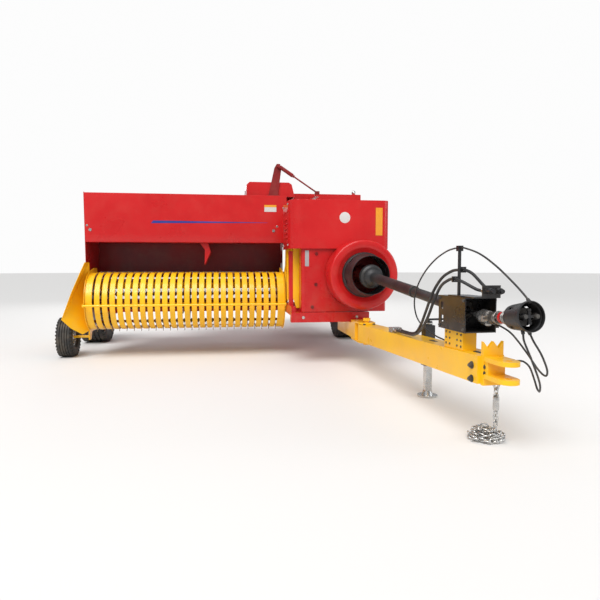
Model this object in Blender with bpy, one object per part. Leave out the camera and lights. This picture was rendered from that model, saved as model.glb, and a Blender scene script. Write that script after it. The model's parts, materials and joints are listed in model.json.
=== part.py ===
"""Square baler: a towed hay baler with a side pickup, standing on its wheels, gauge wheel and jack.

Metres. +X points to the tractor, +Y to the baler's left side, +Z up, and the ground is z = 0.
Inside this script X = 0 is the axle and Y = 0 is the centre of the bale chamber. One parent empty
for the whole baler shifts everything so that the origin is the centre of its base.
"""

import math

import bmesh
import bpy
from mathutils import Matrix, Vector

# ---------------------------------------------------------------- driving sizes
GAP = 0.0003  # between pieces that touch on the real baler
SHEET = 0.004  # folded sheet metal

# bale chamber: a 356 x 457 mm bale
BALE_W = 0.460
BALE_H = 0.360
CHAMBER_WALL = 0.008
CHAMBER_FLOOR = 0.752
CHAMBER_REAR = -1.30
CHAMBER_FRONT = 1.60
FEED_REAR = 0.42
FEED_FRONT = 1.10

# running gear
TYRE_L_R = 0.390
TYRE_L_W = 0.300
TYRE_R_R = 0.365
TYRE_R_W = 0.270
WHEEL_L_Y = 0.590
WHEEL_R_Y = -2.290
SPINDLE_R = 0.030
AXLE_H = 0.090

# pickup: tine rows 66 mm apart
TINE_PITCH = 0.066
TINE_ROWS = 26
TINE_BARS = 4
TINE_R = 0.300
BAND_R = 0.262
BAND_T = 0.004
SLOT_W = 0.018
PICKUP_INNER_Y = -0.303
INNER_END = 0.080
OUTER_END = 0.075
REEL_X = 1.062
REEL_Z = 0.522
PICKUP_HINGE_X = 0.740
PICKUP_HINGE_Z = 0.745
GAUGE_R = 0.184
GAUGE_W = 0.145
GAUGE_Y = -2.330

# feeder housing, above and behind the pickup
HOUSE_FRONT = 0.980
HOUSE_REAR = 0.400
HOUSE_END_Y = -2.175
HOUSE_TOP = 1.545
HOUSE_MOUTH = 1.075
DRIVE_COVER_H = 0.145
DRIVE_COVER_FRONT = 0.880
FEED_FLOOR_TOP = 0.790
FORK_RAIL_X = 0.700
FORK_RAIL_Z = 1.250
FORK_Y = -1.100

# drive line
DRIVE_Y = 0.275
FLYWHEEL_Z = 0.780
GUARD_R = 0.287
FLYWHEEL_R = 0.258
BOSS_R = 0.055
SHIELD_FRONT = 1.800
SHIELD_REAR = 1.300
SHIELD_RIGHT = -0.320
SHIELD_LEFT = 0.550
SHIELD_TOP = 1.415
SHIELD_BOTTOM = 0.458
SHIELD_STEP = 1.000
LOWER_PANEL_X = 1.775
LOWER_PANEL_RIGHT = -0.215
JOINT_X = 2.100
TONGUE_YAW = 3.5
MID_JOINT_X = 3.920
MID_JOINT_Z = 0.605
PTO_END = Vector((4.215, 0.290, 0.640))
PTO_TUBE_R = 0.037
CROSS_ARM = 0.0190
FRONT_CROSS_ARM = 0.0190

# tongue
TONGUE_W = 0.140
TONGUE_H = 0.135
TONGUE_Z = 0.245
TONGUE_RISE = 0.050
TONGUE_END = 3.950
TONGUE_PIN_R = 0.018
JACK_X = 3.000
JACK_W = 0.066
JACK_TOP = 0.470
JACK_BOTTOM = 0.205
JACK_TRAVEL = 0.160
BOX_REAR = 3.565
BOX_FRONT = 3.850
BOX_W = 0.170
BOX_Z = 0.525
BOX_H = 0.175

# hoses and cables, all on the tongue
HOSE_R = 0.008
CABLE_R = 0.0045
HOSE_STEP = 0.032
CABLE_STEP = 0.027
CLIP_GAP = 0.0012
BORE_GAP = 0.0007
POST_X = 3.720
POST_R = 0.0085
POST_TOP = 0.935
RACK_X = 3.905
HOSES = (
    {
        "name": "hydraulic_hose_right",
        "exit": (2.840, 0.232, 0.4195), "coupler": (3.885, 0.275, 0.735),
        "route": [
            (2.8403, 0.232, 0.4195), (2.94, 0.232, 0.4200), (3.06, 0.226, 0.4235), (3.20, 0.208, 0.436),
            (3.32, 0.196, 0.476), (3.42, 0.193, 0.560), (3.495, 0.194, 0.660), (3.570, 0.198, 0.746),
            (3.655, 0.202, 0.783), (3.700, 0.202, 0.787), (3.740, 0.202, 0.787), (3.785, 0.215, 0.774),
            (3.828, 0.258, 0.742), (3.852, 0.275, 0.735), (3.8847, 0.275, 0.735),
        ],
    },
    {
        "name": "hydraulic_hose_left",
        "exit": (2.840, 0.268, 0.4195), "coupler": (3.885, 0.322, 0.735),
        "route": [
            (2.8403, 0.268, 0.4195), (2.94, 0.268, 0.4200), (3.05, 0.258, 0.4255), (3.17, 0.236, 0.448),
            (3.28, 0.218, 0.510), (3.36, 0.213, 0.600), (3.43, 0.216, 0.700), (3.515, 0.228, 0.786),
            (3.610, 0.241, 0.828), (3.700, 0.246, 0.835), (3.740, 0.246, 0.835), (3.785, 0.264, 0.816),
            (3.825, 0.304, 0.757), (3.852, 0.322, 0.735), (3.8847, 0.322, 0.735),
        ],
    },
)
CABLES = {
    "light_cable": [
        (3.520, 0.268, 0.4400), (3.480, 0.268, 0.4410), (3.380, 0.266, 0.450), (3.270, 0.250, 0.480),
        (3.205, 0.225, 0.540), (3.190, 0.212, 0.630), (3.235, 0.210, 0.730), (3.330, 0.214, 0.820),
        (3.450, 0.220, 0.890), (3.570, 0.225, 0.932), (3.660, 0.225, 0.946), (3.7077, 0.225, 0.947),
    ],
    "guard_stay": [
        (3.7323, 0.225, 0.947), (3.765, 0.226, 0.946), (3.880, 0.244, 0.915), (4.000, 0.262, 0.855),
        (4.120, 0.279, 0.777), (4.183, 0.287, 0.731), (4.2022, 0.2895, 0.7145),
    ],
    "guard_cable": [
        (3.8503, 0.366, 0.560), (3.885, 0.366, 0.559), (3.960, 0.378, 0.530), (4.040, 0.402, 0.455),
        (4.105, 0.420, 0.385), (4.155, 0.422, 0.366), (4.192, 0.402, 0.400), (4.210, 0.360, 0.470),
        (4.210, 0.320, 0.530), (4.2085, 0.3035, 0.5615),
    ],
    "pin_cable": [
        (4.198, 0.276, 0.5620), (4.203, 0.279, 0.530), (4.214, 0.310, 0.450), (4.200, 0.360, 0.350),
        (4.155, 0.395, 0.298), (4.105, 0.418, 0.296), (4.065, 0.430, 0.330), (4.050, 0.415, 0.385),
        (4.050, 0.385, 0.4120), (4.050, 0.360, 0.4180), (4.050, 0.3254, 0.4180),
    ],
}

# knotters and needles
HOOD_X = 0.380
CHUTE_BACK = 0.025
CHUTE_DROP = 0.010
YOKE_X = -0.250
YOKE_Z = 0.930
NEEDLE_R = 0.450
NEEDLE_Y = 0.120

# frame
POSTS = (-0.445, 0.330, 1.560)
RAIL_Z = 0.369
RAIL_H = 0.085
SIDE_RAIL_Z = 0.4203
SIDE_RAIL_H = 0.080

CHAMBER_HALF = BALE_W / 2 + CHAMBER_WALL
CHAMBER_TOP = CHAMBER_FLOOR + BALE_H + CHAMBER_WALL
CHAMBER_BOTTOM = CHAMBER_FLOOR - CHAMBER_WALL
FIRST_TINE_Y = PICKUP_INNER_Y - INNER_END
PICKUP_OUTER_Y = FIRST_TINE_Y - (TINE_ROWS - 1) * TINE_PITCH - OUTER_END

for old in list(bpy.data.objects):
    bpy.data.objects.remove(old, do_unlink=True)


# ---------------------------------------------------------------- materials
def material(name, colour, roughness=0.45, metallic=0.0):
    mat = bpy.data.materials.new(name)
    mat.use_nodes = True
    shader = mat.node_tree.nodes["Principled BSDF"]
    shader.inputs["Base Color"].default_value = (*colour, 1.0)
    shader.inputs["Roughness"].default_value = roughness
    shader.inputs["Metallic"].default_value = metallic
    mat.diffuse_color = (*colour, 1.0)
    return mat


RED = material("red_paint", (0.62, 0.035, 0.025), 0.35)
DARK_RED = material("worn_red_paint", (0.22, 0.018, 0.016), 0.6)
YELLOW = material("yellow_paint", (0.95, 0.45, 0.02), 0.4)
BLACK = material("black_paint", (0.025, 0.025, 0.027), 0.45)
PLASTIC = material("black_plastic", (0.02, 0.02, 0.022), 0.6)
TYRE = material("tyre_rubber", (0.018, 0.018, 0.018), 0.85)
STEEL = material("bare_steel", (0.42, 0.41, 0.40), 0.4, 0.9)
ZINC = material("zinc_plated", (0.62, 0.62, 0.60), 0.35, 0.9)
CAST = material("cast_iron", (0.16, 0.15, 0.145), 0.6, 0.5)
RUBBER = material("hose_rubber", (0.016, 0.016, 0.017), 0.7)
SHEATH = material("cable_sheath", (0.02, 0.02, 0.022), 0.5)


# ---------------------------------------------------------------- shapes
def new_shape():
    return bmesh.new()


def box(shape, low, high):
    """An upright box between two corners."""
    low, high = Vector(low), Vector(high)
    middle = (low + high) / 2
    size = high - low
    place = Matrix.Translation(middle) @ Matrix.Diagonal((*size, 1.0))
    return bmesh.ops.create_cube(shape, size=1.0, matrix=place)["verts"]


def rod(shape, start, end, radius, segments=12, end_radius=None):
    """A round bar, or a cone, between two points."""
    start, end = Vector(start), Vector(end)
    along = end - start
    turn = along.to_track_quat("Z", "Y").to_matrix().to_4x4()
    place = Matrix.Translation((start + end) / 2) @ turn
    radius_2 = radius if end_radius is None else end_radius
    made = bmesh.ops.create_cone(
        shape, cap_ends=True, segments=segments, radius1=radius, radius2=radius_2,
        depth=along.length, matrix=place,
    )
    return made["verts"]


def plate(shape, outline, axis, low, high):
    """A flat outline pushed along X, Y or Z. The outline gives the other two coordinates in order."""
    def at(point, along):
        place = list(point)
        place.insert("XYZ".index(axis), along)
        return Vector(place)

    verts = [shape.verts.new(at(point, low)) for point in outline]
    face = shape.faces.new(verts)
    made = bmesh.ops.extrude_face_region(shape, geom=[face])
    top = [part for part in made["geom"] if isinstance(part, bmesh.types.BMVert)]
    shift = at((0.0, 0.0), high - low)
    bmesh.ops.translate(shape, verts=top, vec=shift)
    return verts + top


def turned(shape, outline, centre, axis, segments=32):
    """A closed outline of (radius, along) points turned once round an axis through centre."""
    centre, axis = Vector(centre), Vector(axis).normalized()
    side = axis.orthogonal().normalized()
    if abs(axis.z) < 0.5:
        side = Vector((0.0, 0.0, 1.0))
        side = (side - axis * side.dot(axis)).normalized()
    verts = [shape.verts.new(centre + side * radius + axis * along) for radius, along in outline]
    edges = [shape.edges.new((a, b)) for a, b in zip(verts, verts[1:] + verts[:1])]
    made = bmesh.ops.spin(
        shape, geom=verts + edges, cent=centre, axis=axis, angle=math.tau, steps=segments,
        use_merge=True,
    )
    return made


def bent_bar(shape, points, radius, segments=10):
    """A round bar through several points, swept with mitred corners."""
    points = [Vector(point) for point in points]
    rings = []
    along = (points[1] - points[0]).normalized()
    side = along.orthogonal().normalized()
    for index, point in enumerate(points):
        before = (point - points[max(index - 1, 0)]).normalized() if index else along
        after = (points[index + 1] - point).normalized() if index + 1 < len(points) else before
        before = before if index else after
        tangent = (before + after).normalized()
        side = (side - tangent * side.dot(tangent)).normalized()
        other = tangent.cross(side)
        stretch = 1.0 / max(tangent.dot(after), 0.5)
        ring = []
        across = (after - before)
        across = across.normalized() if across.length > 1e-6 else None
        for step in range(segments):
            angle = math.tau * step / segments
            offset = side * math.cos(angle) + other * math.sin(angle)
            if across is not None:
                flat = (across - tangent * across.dot(tangent)).normalized()
                offset += flat * offset.dot(flat) * (stretch - 1.0)
            ring.append(shape.verts.new(point + offset * radius))
        rings.append(ring)
    for first, second in zip(rings, rings[1:]):
        for step in range(segments):
            after = (step + 1) % segments
            shape.faces.new((first[step], first[after], second[after], second[step]))
    shape.faces.new(list(reversed(rings[0])))
    shape.faces.new(rings[-1])
    return [vert for ring in rings for vert in ring]


def arc(centre, radius, start, end, count):
    """Points round an arc, in degrees."""
    angles = [math.radians(start + (end - start) * step / count) for step in range(count + 1)]
    return [(centre[0] + radius * math.cos(a), centre[1] + radius * math.sin(a)) for a in angles]


def helper(name, shape):
    bmesh.ops.recalc_face_normals(shape, faces=shape.faces)
    mesh = bpy.data.meshes.new(name)
    shape.to_mesh(mesh)
    shape.free()
    made = bpy.data.objects.new(name, mesh)
    bpy.context.scene.collection.objects.link(made)
    return made


def boolean(target, tool, operation, solver="EXACT"):
    """Applies one Boolean and removes the tool."""
    step = target.modifiers.new(operation.lower(), "BOOLEAN")
    step.operation = operation
    step.solver = solver
    step.object = tool
    if solver == "EXACT":
        step.use_self = True
    bpy.context.view_layer.update()
    graph = bpy.context.evaluated_depsgraph_get()
    result = bpy.data.meshes.new_from_object(target.evaluated_get(graph))
    target.modifiers.clear()
    old = target.data
    target.data = result
    bpy.data.meshes.remove(old)
    bpy.data.objects.remove(tool, do_unlink=True)


def split_first(shape):
    """Moves every body but the first into a shape of its own."""
    seen = set()
    shape.verts.ensure_lookup_table()
    stack = [shape.verts[0]]
    while stack:
        vert = stack.pop()
        if vert in seen:
            continue
        seen.add(vert)
        stack.extend(edge.other_vert(vert) for edge in vert.link_edges)
    rest = [vert for vert in shape.verts if vert not in seen]
    if not rest:
        return None
    others = shape.copy()
    others.verts.ensure_lookup_table()
    first_index = {vert.index for vert in seen}
    drop = [vert for vert in others.verts if vert.index in first_index]
    bmesh.ops.delete(others, geom=drop, context="VERTS")
    bmesh.ops.delete(shape, geom=rest, context="VERTS")
    return others


BODIES = {}


def body(name, pivot, parent, yaw=0.0):
    """The empty that a moving body turns or slides on."""
    made = bpy.data.objects.new(f"{name}_origin", None)
    made.empty_display_size = 0.1
    bpy.context.scene.collection.objects.link(made)
    made.parent = parent
    made.location = Vector(pivot) - (BODIES[parent.name][1] if parent else Vector())
    made.rotation_euler.z = math.radians(yaw)
    BODIES[made.name] = (made, Vector(pivot))
    return made


def solid(name, shape, mat, on, cut=None, smooth=35.0):
    """One named closed body: its shapes joined, its cuts taken out, hung on its body's empty."""
    shape.verts.index_update()
    others = split_first(shape)
    made = helper(name, shape)
    if others is not None:
        boolean(made, helper("join", others), "UNION")
    if cut is not None:
        boolean(made, helper("cut", cut), "DIFFERENCE")
    pivot = BODIES[on.name][1]
    made.data.transform(Matrix.Translation(-pivot))
    made.parent = on
    made.data.materials.clear()
    made.data.materials.append(mat)
    made.data.shade_smooth()
    made.data.set_sharp_from_angle(angle=math.radians(smooth))
    return made


def smooth_route(route, spacing):
    """Points a spacing apart along one smooth curve through the route."""
    route = [Vector(point) for point in route]
    ends = [2 * route[0] - route[1]] + route + [2 * route[-1] - route[-2]]
    fine = []
    for a, b, c, d in zip(ends, ends[1:], ends[2:], ends[3:]):
        for step in range(24):
            t = step / 24
            fine.append(
                b
                + (c - a) * t / 2
                + (a - 2.5 * b + 2 * c - d / 2) * t * t
                + (1.5 * (b - c) + (d - a) / 2) * t ** 3
            )
    fine.append(route[-1])
    runs = [(q - p).length for p, q in zip(fine, fine[1:])]
    count = max(4, round(sum(runs) / spacing))
    wanted = [sum(runs) * number / count for number in range(1, count)]
    points, run, index = [fine[0]], 0.0, 0
    for mark in wanted:
        while run + runs[index] < mark:
            run += runs[index]
            index += 1
        points.append(fine[index].lerp(fine[index + 1], (mark - run) / runs[index]))
    return points + [fine[-1]]


def place_at(points, x):
    """Where a run of points first crosses a plane across X."""
    for a, b in zip(points, points[1:]):
        if a.x <= x < b.x:
            return a.lerp(b, (x - a.x) / (b.x - a.x))
    return points[-1]


def cord(name, route, radius, mat, on, spacing):
    """A hose or cable: a round tube with closed ends along its route."""
    points = smooth_route(route, spacing)
    curve = bpy.data.curves.new(name, "CURVE")
    curve.dimensions = "3D"
    curve.bevel_depth = radius
    curve.bevel_resolution = 2
    curve.use_fill_caps = True
    spline = curve.splines.new("POLY")
    spline.points.add(len(points) - 1)
    pivot = BODIES[on.name][1]
    for at, point in zip(spline.points, points):
        at.co = (*(point - pivot), 1.0)
    made = bpy.data.objects.new(name, curve)
    bpy.context.scene.collection.objects.link(made)
    made.parent = on
    made.data.materials.append(mat)
    return made


ROOT = bpy.data.objects.new("baler_origin", None)
bpy.context.scene.collection.objects.link(ROOT)
BODIES[ROOT.name] = (ROOT, Vector((0.0, 0.0, 0.0)))


# ---------------------------------------------------------------- chamber and frame
def make_chamber():
    shape = new_shape()
    half, top, bottom = CHAMBER_HALF, CHAMBER_TOP, CHAMBER_BOTTOM
    box(shape, (CHAMBER_REAR, -half, bottom), (CHAMBER_FRONT, half, top))
    for x in (-1.26, -0.84, -0.44):
        box(shape, (x - 0.02, -half - 0.022, bottom - 0.022), (x + 0.02, half + 0.022, top + 0.022))
    for x in (0.385, 1.45):
        box(shape, (x - 0.015, -half + 0.002, bottom - 0.02), (x + 0.015, half + 0.022, top - 0.002))
    # studs that the needle yoke swings on
    for side in (-1, 1):
        start, end = side * (half - 0.004), side * (half + 0.045)
        rod(shape, (YOKE_X, start, YOKE_Z), (YOKE_X, end, YOKE_Z), 0.015, 20)
        rod(shape, (YOKE_X, side * (half + 0.0185), YOKE_Z), (YOKE_X, end, YOKE_Z), 0.026, 20)
    # hinge pin of the bale chute, on two lugs
    pin_x, pin_z, lug_y = CHAMBER_REAR - CHUTE_BACK, bottom - CHUTE_DROP, half - 0.006
    rod(shape, (pin_x, -lug_y - 0.008, pin_z), (pin_x, lug_y + 0.008, pin_z), 0.008, 14)
    for side in (-1, 1):
        y = side * lug_y
        box(
            shape, (pin_x - 0.012, y - 0.006, pin_z - 0.014),
            (CHAMBER_REAR + 0.006, y + 0.006, pin_z + 0.024),
        )
    # struts that carry the front shield
    box(shape, (1.50, -half, top - 0.002), (1.54, half, top + 0.05))
    for y in (-0.20, 0.20):
        box(shape, (1.50, y - 0.02, top + 0.03), (1.54, y + 0.02, SHIELD_TOP - SHEET - GAP))
    cut = new_shape()
    inner = BALE_W / 2
    box(
        cut, (CHAMBER_REAR - 0.1, -inner, CHAMBER_FLOOR),
        (CHAMBER_FRONT + 0.1, inner, top - CHAMBER_WALL),
    )
    box(
        cut, (FEED_REAR, -half - 0.1, CHAMBER_FLOOR + 0.012),
        (FEED_FRONT, 0.0, top - CHAMBER_WALL - 0.012),
    )
    for side in (-1, 1):
        y = side * NEEDLE_Y
        box(cut, (0.085, y - 0.017, bottom - 0.1), (0.255, y + 0.017, top + 0.1))
    return solid("bale_chamber", shape, RED, ROOT, cut)


def make_frame():
    shape = new_shape()
    rail_top = RAIL_Z + RAIL_H
    box(shape, (1.72, -0.305, RAIL_Z), (SHIELD_FRONT - 0.01, 0.380, rail_top))
    side_top = SIDE_RAIL_Z + SIDE_RAIL_H
    for side, low, high in ((-1, -0.298, -0.260), (1, 0.290, 0.350)):
        box(shape, (-0.50, low, SIDE_RAIL_Z), (1.74, high, side_top))
        for x in POSTS:
            box(shape, (x - 0.025, low, side_top - 0.01), (x + 0.025, high, 0.985))
            reach = side * (CHAMBER_HALF + (0.0225 if x == POSTS[0] else 0.0) + GAP)
            box(
                shape, (x - 0.020, min(reach, side * 0.295), 0.88),
                (x + 0.020, max(reach, side * 0.295), 0.98),
            )
    # cross bars under the chamber
    for x in (1.56, -0.47):
        box(shape, (x - 0.02, -0.28, SIDE_RAIL_Z + 0.005), (x + 0.02, 0.30, side_top - 0.005))
    solid("main_frame", shape, RED, ROOT)

    # carrier for the tongue, with its fork plates and pin
    shape = new_shape()
    tongue_top = TONGUE_Z + TONGUE_H
    half = TONGUE_W / 2
    box(shape, (1.30, DRIVE_Y - half, TONGUE_Z), (1.985, DRIVE_Y + half, RAIL_Z - GAP))
    for low in (TONGUE_Z - 0.014, tongue_top + 0.004):
        plate(
            shape,
            [(1.86, DRIVE_Y - half), (JOINT_X, DRIVE_Y - half)]
            + arc((JOINT_X, DRIVE_Y), half, -90, 90, 8)[1:-1]
            + [(JOINT_X, DRIVE_Y + half), (1.86, DRIVE_Y + half)],
            "Z", low, low + 0.012,
        )
    box(
        shape, (1.84, DRIVE_Y - half + 0.001, TONGUE_Z - 0.013),
        (1.984, DRIVE_Y + half - 0.001, tongue_top + 0.015),
    )
    pin_low, pin_high = TONGUE_Z - 0.030, tongue_top + 0.050
    rod(shape, (JOINT_X, DRIVE_Y, pin_low), (JOINT_X, DRIVE_Y, pin_high), TONGUE_PIN_R, 16)
    rod(shape, (JOINT_X, DRIVE_Y, pin_high - 0.020), (JOINT_X, DRIVE_Y, pin_high), 0.030, 16)
    rod(shape, (JOINT_X, DRIVE_Y, pin_low), (JOINT_X, DRIVE_Y, TONGUE_Z - 0.013), 0.028, 16)
    solid("tongue_carrier", shape, YELLOW, ROOT)


def make_axle():
    shape = new_shape()
    top = SIDE_RAIL_Z - GAP
    bottom = top - AXLE_H
    left_hub = WHEEL_L_Y - TYRE_L_W / 2
    right_hub = WHEEL_R_Y + TYRE_R_W / 2
    box(shape, (-0.045, right_hub + 0.05, bottom), (0.045, left_hub - 0.015, top))
    # the right spindle sits lower than the left one, for its smaller tyre
    hubs = ((left_hub, TYRE_L_R, WHEEL_L_Y + 0.075), (right_hub, TYRE_R_R, WHEEL_R_Y - 0.070))
    for hub, centre, end in hubs:
        inward = -1 if hub > 0 else 1
        low = min(bottom, centre - 0.05)
        high = max(top, centre + 0.05)
        start = hub + inward * 0.035
        box(
            shape, (-0.055, min(start, start + inward * 0.05), low),
            (0.055, max(start, start + inward * 0.05), high),
        )
        rod(shape, (0, start, centre), (0, end, centre), SPINDLE_R, 24)
    return solid("axle", shape, RED, ROOT)


def wheel_sections(radius, width, rim_radius):
    """Tyre section as (radius, along) points, out over the tread and back under the beads."""
    half = width / 2
    tyre = [
        (rim_radius + 0.004, -half * 0.62),
        (rim_radius + 0.045, -half * 0.86),
        ((radius + rim_radius) / 2 + 0.01, -half),
        (radius - 0.045, -half * 0.93),
        (radius - 0.012, -half * 0.78),
        (radius, -half * 0.45),
    ]
    tyre += [(r, -along) for r, along in reversed(tyre)]
    tyre += [(rim_radius + 0.0003, half * 0.60), (rim_radius + 0.0003, -half * 0.60)]
    return tyre


def make_wheel(name, centre, radius, width, rim_radius, on, spindle, rim_mat, dish=0.02, segments=20):
    shape = new_shape()
    turned(shape, wheel_sections(radius, width, rim_radius), centre, (0, 1, 0), segments)
    solid(f"{name}_tyre", shape, TYRE, on)
    half = width * 0.30
    bore = spindle + BORE_GAP
    rim = rim_radius
    outline = [
        (rim, -half + 0.002), (rim, half - 0.002), (rim - 0.014, half - 0.002),
        (rim - 0.03, half - 0.03),
        (rim - 0.03, dish + 0.008), (bore + 0.06, dish + 0.014), (bore + 0.045, dish + 0.05),
        (bore, dish + 0.05), (bore, dish - 0.05), (bore + 0.045, dish - 0.05), (bore + 0.06, dish),
        (rim - 0.03, dish - 0.006), (rim - 0.03, -half + 0.03), (rim - 0.014, -half + 0.002),
    ]
    shape = new_shape()
    turned(shape, outline, centre, (0, 1, 0), segments)
    solid(f"{name}_rim", shape, rim_mat, on)


# ---------------------------------------------------------------- feeder housing
def make_feeder():
    left_y = -(CHAMBER_HALF + 0.012)
    shape = new_shape()
    front, rear = HOUSE_FRONT, HOUSE_REAR
    fold_z = HOUSE_MOUTH + 0.080
    end_y = HOUSE_END_Y + SHEET + GAP
    outline = [
        (front, HOUSE_TOP), (front, fold_z), (front - 0.012, HOUSE_MOUTH + 0.006),
        (front - 0.045, HOUSE_MOUTH), (front - 0.046, HOUSE_MOUTH + SHEET),
        (front - 0.016, HOUSE_MOUTH + 0.010), (front - SHEET, fold_z), (front - SHEET, HOUSE_TOP),
    ]
    plate(shape, outline, "Y", end_y, left_y)
    solid("feeder_front_panel", shape, RED, ROOT)

    shape = new_shape()
    roof_z = HOUSE_TOP - SHEET
    inside = front - SHEET - GAP
    plate(
        shape,
        [(inside, HOUSE_TOP), (inside, HOUSE_TOP - 0.03), (inside - SHEET, HOUSE_TOP - 0.03),
         (inside - SHEET, roof_z), (rear + SHEET, roof_z), (rear + SHEET, FEED_FLOOR_TOP + GAP),
         (rear, FEED_FLOOR_TOP + GAP), (rear, HOUSE_TOP)],
        "Y", end_y, left_y,
    )
    # rail that the fork carriage runs on, hung from the roof
    rail_ends = (end_y + 0.001, left_y - 0.01)
    rod(
        shape, (FORK_RAIL_X, rail_ends[0], FORK_RAIL_Z), (FORK_RAIL_X, rail_ends[1], FORK_RAIL_Z),
        0.020, 20,
    )
    for y in (end_y + 0.02, left_y - 0.03):
        box(
            shape, (FORK_RAIL_X - 0.03, y - 0.012, FORK_RAIL_Z - 0.03),
            (FORK_RAIL_X + 0.03, y + 0.012, roof_z + 0.001),
        )
    solid("feeder_housing_back", shape, RED, ROOT)

    shape = new_shape()
    floor_front = PICKUP_HINGE_X + 0.030
    plate(
        shape,
        [(rear, FEED_FLOOR_TOP), (floor_front, FEED_FLOOR_TOP), (floor_front, FEED_FLOOR_TOP - 0.022),
         (floor_front - SHEET, FEED_FLOOR_TOP - 0.022), (floor_front - SHEET, FEED_FLOOR_TOP - SHEET),
         (rear + SHEET, FEED_FLOOR_TOP - SHEET), (rear + SHEET, FEED_FLOOR_TOP - 0.05),
         (rear, FEED_FLOOR_TOP - 0.05)],
        "Y", end_y, -(CHAMBER_HALF + 0.0025),
    )
    # pin under its front edge that the pickup hangs on
    pin = (PICKUP_HINGE_X, PICKUP_HINGE_Z)
    rod(
        shape, (pin[0], PICKUP_OUTER_Y - 0.02, pin[1]), (pin[0], PICKUP_INNER_Y + 0.02, pin[1]), 0.008,
        16,
    )
    for share in (0.06, 0.5, 0.94):
        y = PICKUP_OUTER_Y + (PICKUP_INNER_Y - PICKUP_OUTER_Y) * share
        box(
            shape, (pin[0] - 0.014, y - 0.01, pin[1] - 0.014),
            (pin[0] + 0.014, y + 0.01, FEED_FLOOR_TOP - 0.002),
        )
    solid("feeder_floor", shape, RED, ROOT)

    shape = new_shape()
    plate(
        shape,
        [(rear - 0.02, FEED_FLOOR_TOP - 0.06), (floor_front, FEED_FLOOR_TOP - 0.03),
         (front - 0.02, FEED_FLOOR_TOP + 0.03), (front + 0.002, HOUSE_TOP + 0.006),
         (rear - 0.02, HOUSE_TOP + 0.006)],
        "Y", HOUSE_END_Y, HOUSE_END_Y + SHEET,
    )
    solid("feeder_end_sheet", shape, RED, ROOT)

    fork = body("feeder_fork", (FORK_RAIL_X, FORK_Y, FORK_RAIL_Z), ROOT)
    shape = new_shape()
    rod(
        shape, (FORK_RAIL_X, FORK_Y - 0.13, FORK_RAIL_Z), (FORK_RAIL_X, FORK_Y + 0.13, FORK_RAIL_Z),
        0.036, 20,
    )
    box(
        shape, (FORK_RAIL_X - 0.03, FORK_Y - 0.12, FORK_RAIL_Z - 0.10),
        (FORK_RAIL_X + 0.03, FORK_Y + 0.12, FORK_RAIL_Z - 0.025),
    )
    box(
        shape, (FORK_RAIL_X - 0.20, FORK_Y - 0.03, FORK_RAIL_Z - 0.125),
        (FORK_RAIL_X + 0.22, FORK_Y + 0.03, FORK_RAIL_Z - 0.095),
    )
    for x in (-0.185, -0.05, 0.085, 0.205):
        plate(
            shape,
            [(FORK_Y - 0.05, FORK_RAIL_Z - 0.11), (FORK_Y + 0.06, FORK_RAIL_Z - 0.11),
             (FORK_Y + 0.10, FORK_RAIL_Z - 0.26), (FORK_Y + 0.04, FORK_RAIL_Z - 0.39),
             (FORK_Y + 0.045, FORK_RAIL_Z - 0.24)],
            "X", FORK_RAIL_X + x - 0.006, FORK_RAIL_X + x + 0.006,
        )
    cut = new_shape()
    rod(
        cut, (FORK_RAIL_X, FORK_Y - 0.3, FORK_RAIL_Z), (FORK_RAIL_X, FORK_Y + 0.3, FORK_RAIL_Z), 0.0205,
        20,
    )
    solid("feeder_fork", shape, RED, fork, cut)


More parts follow.
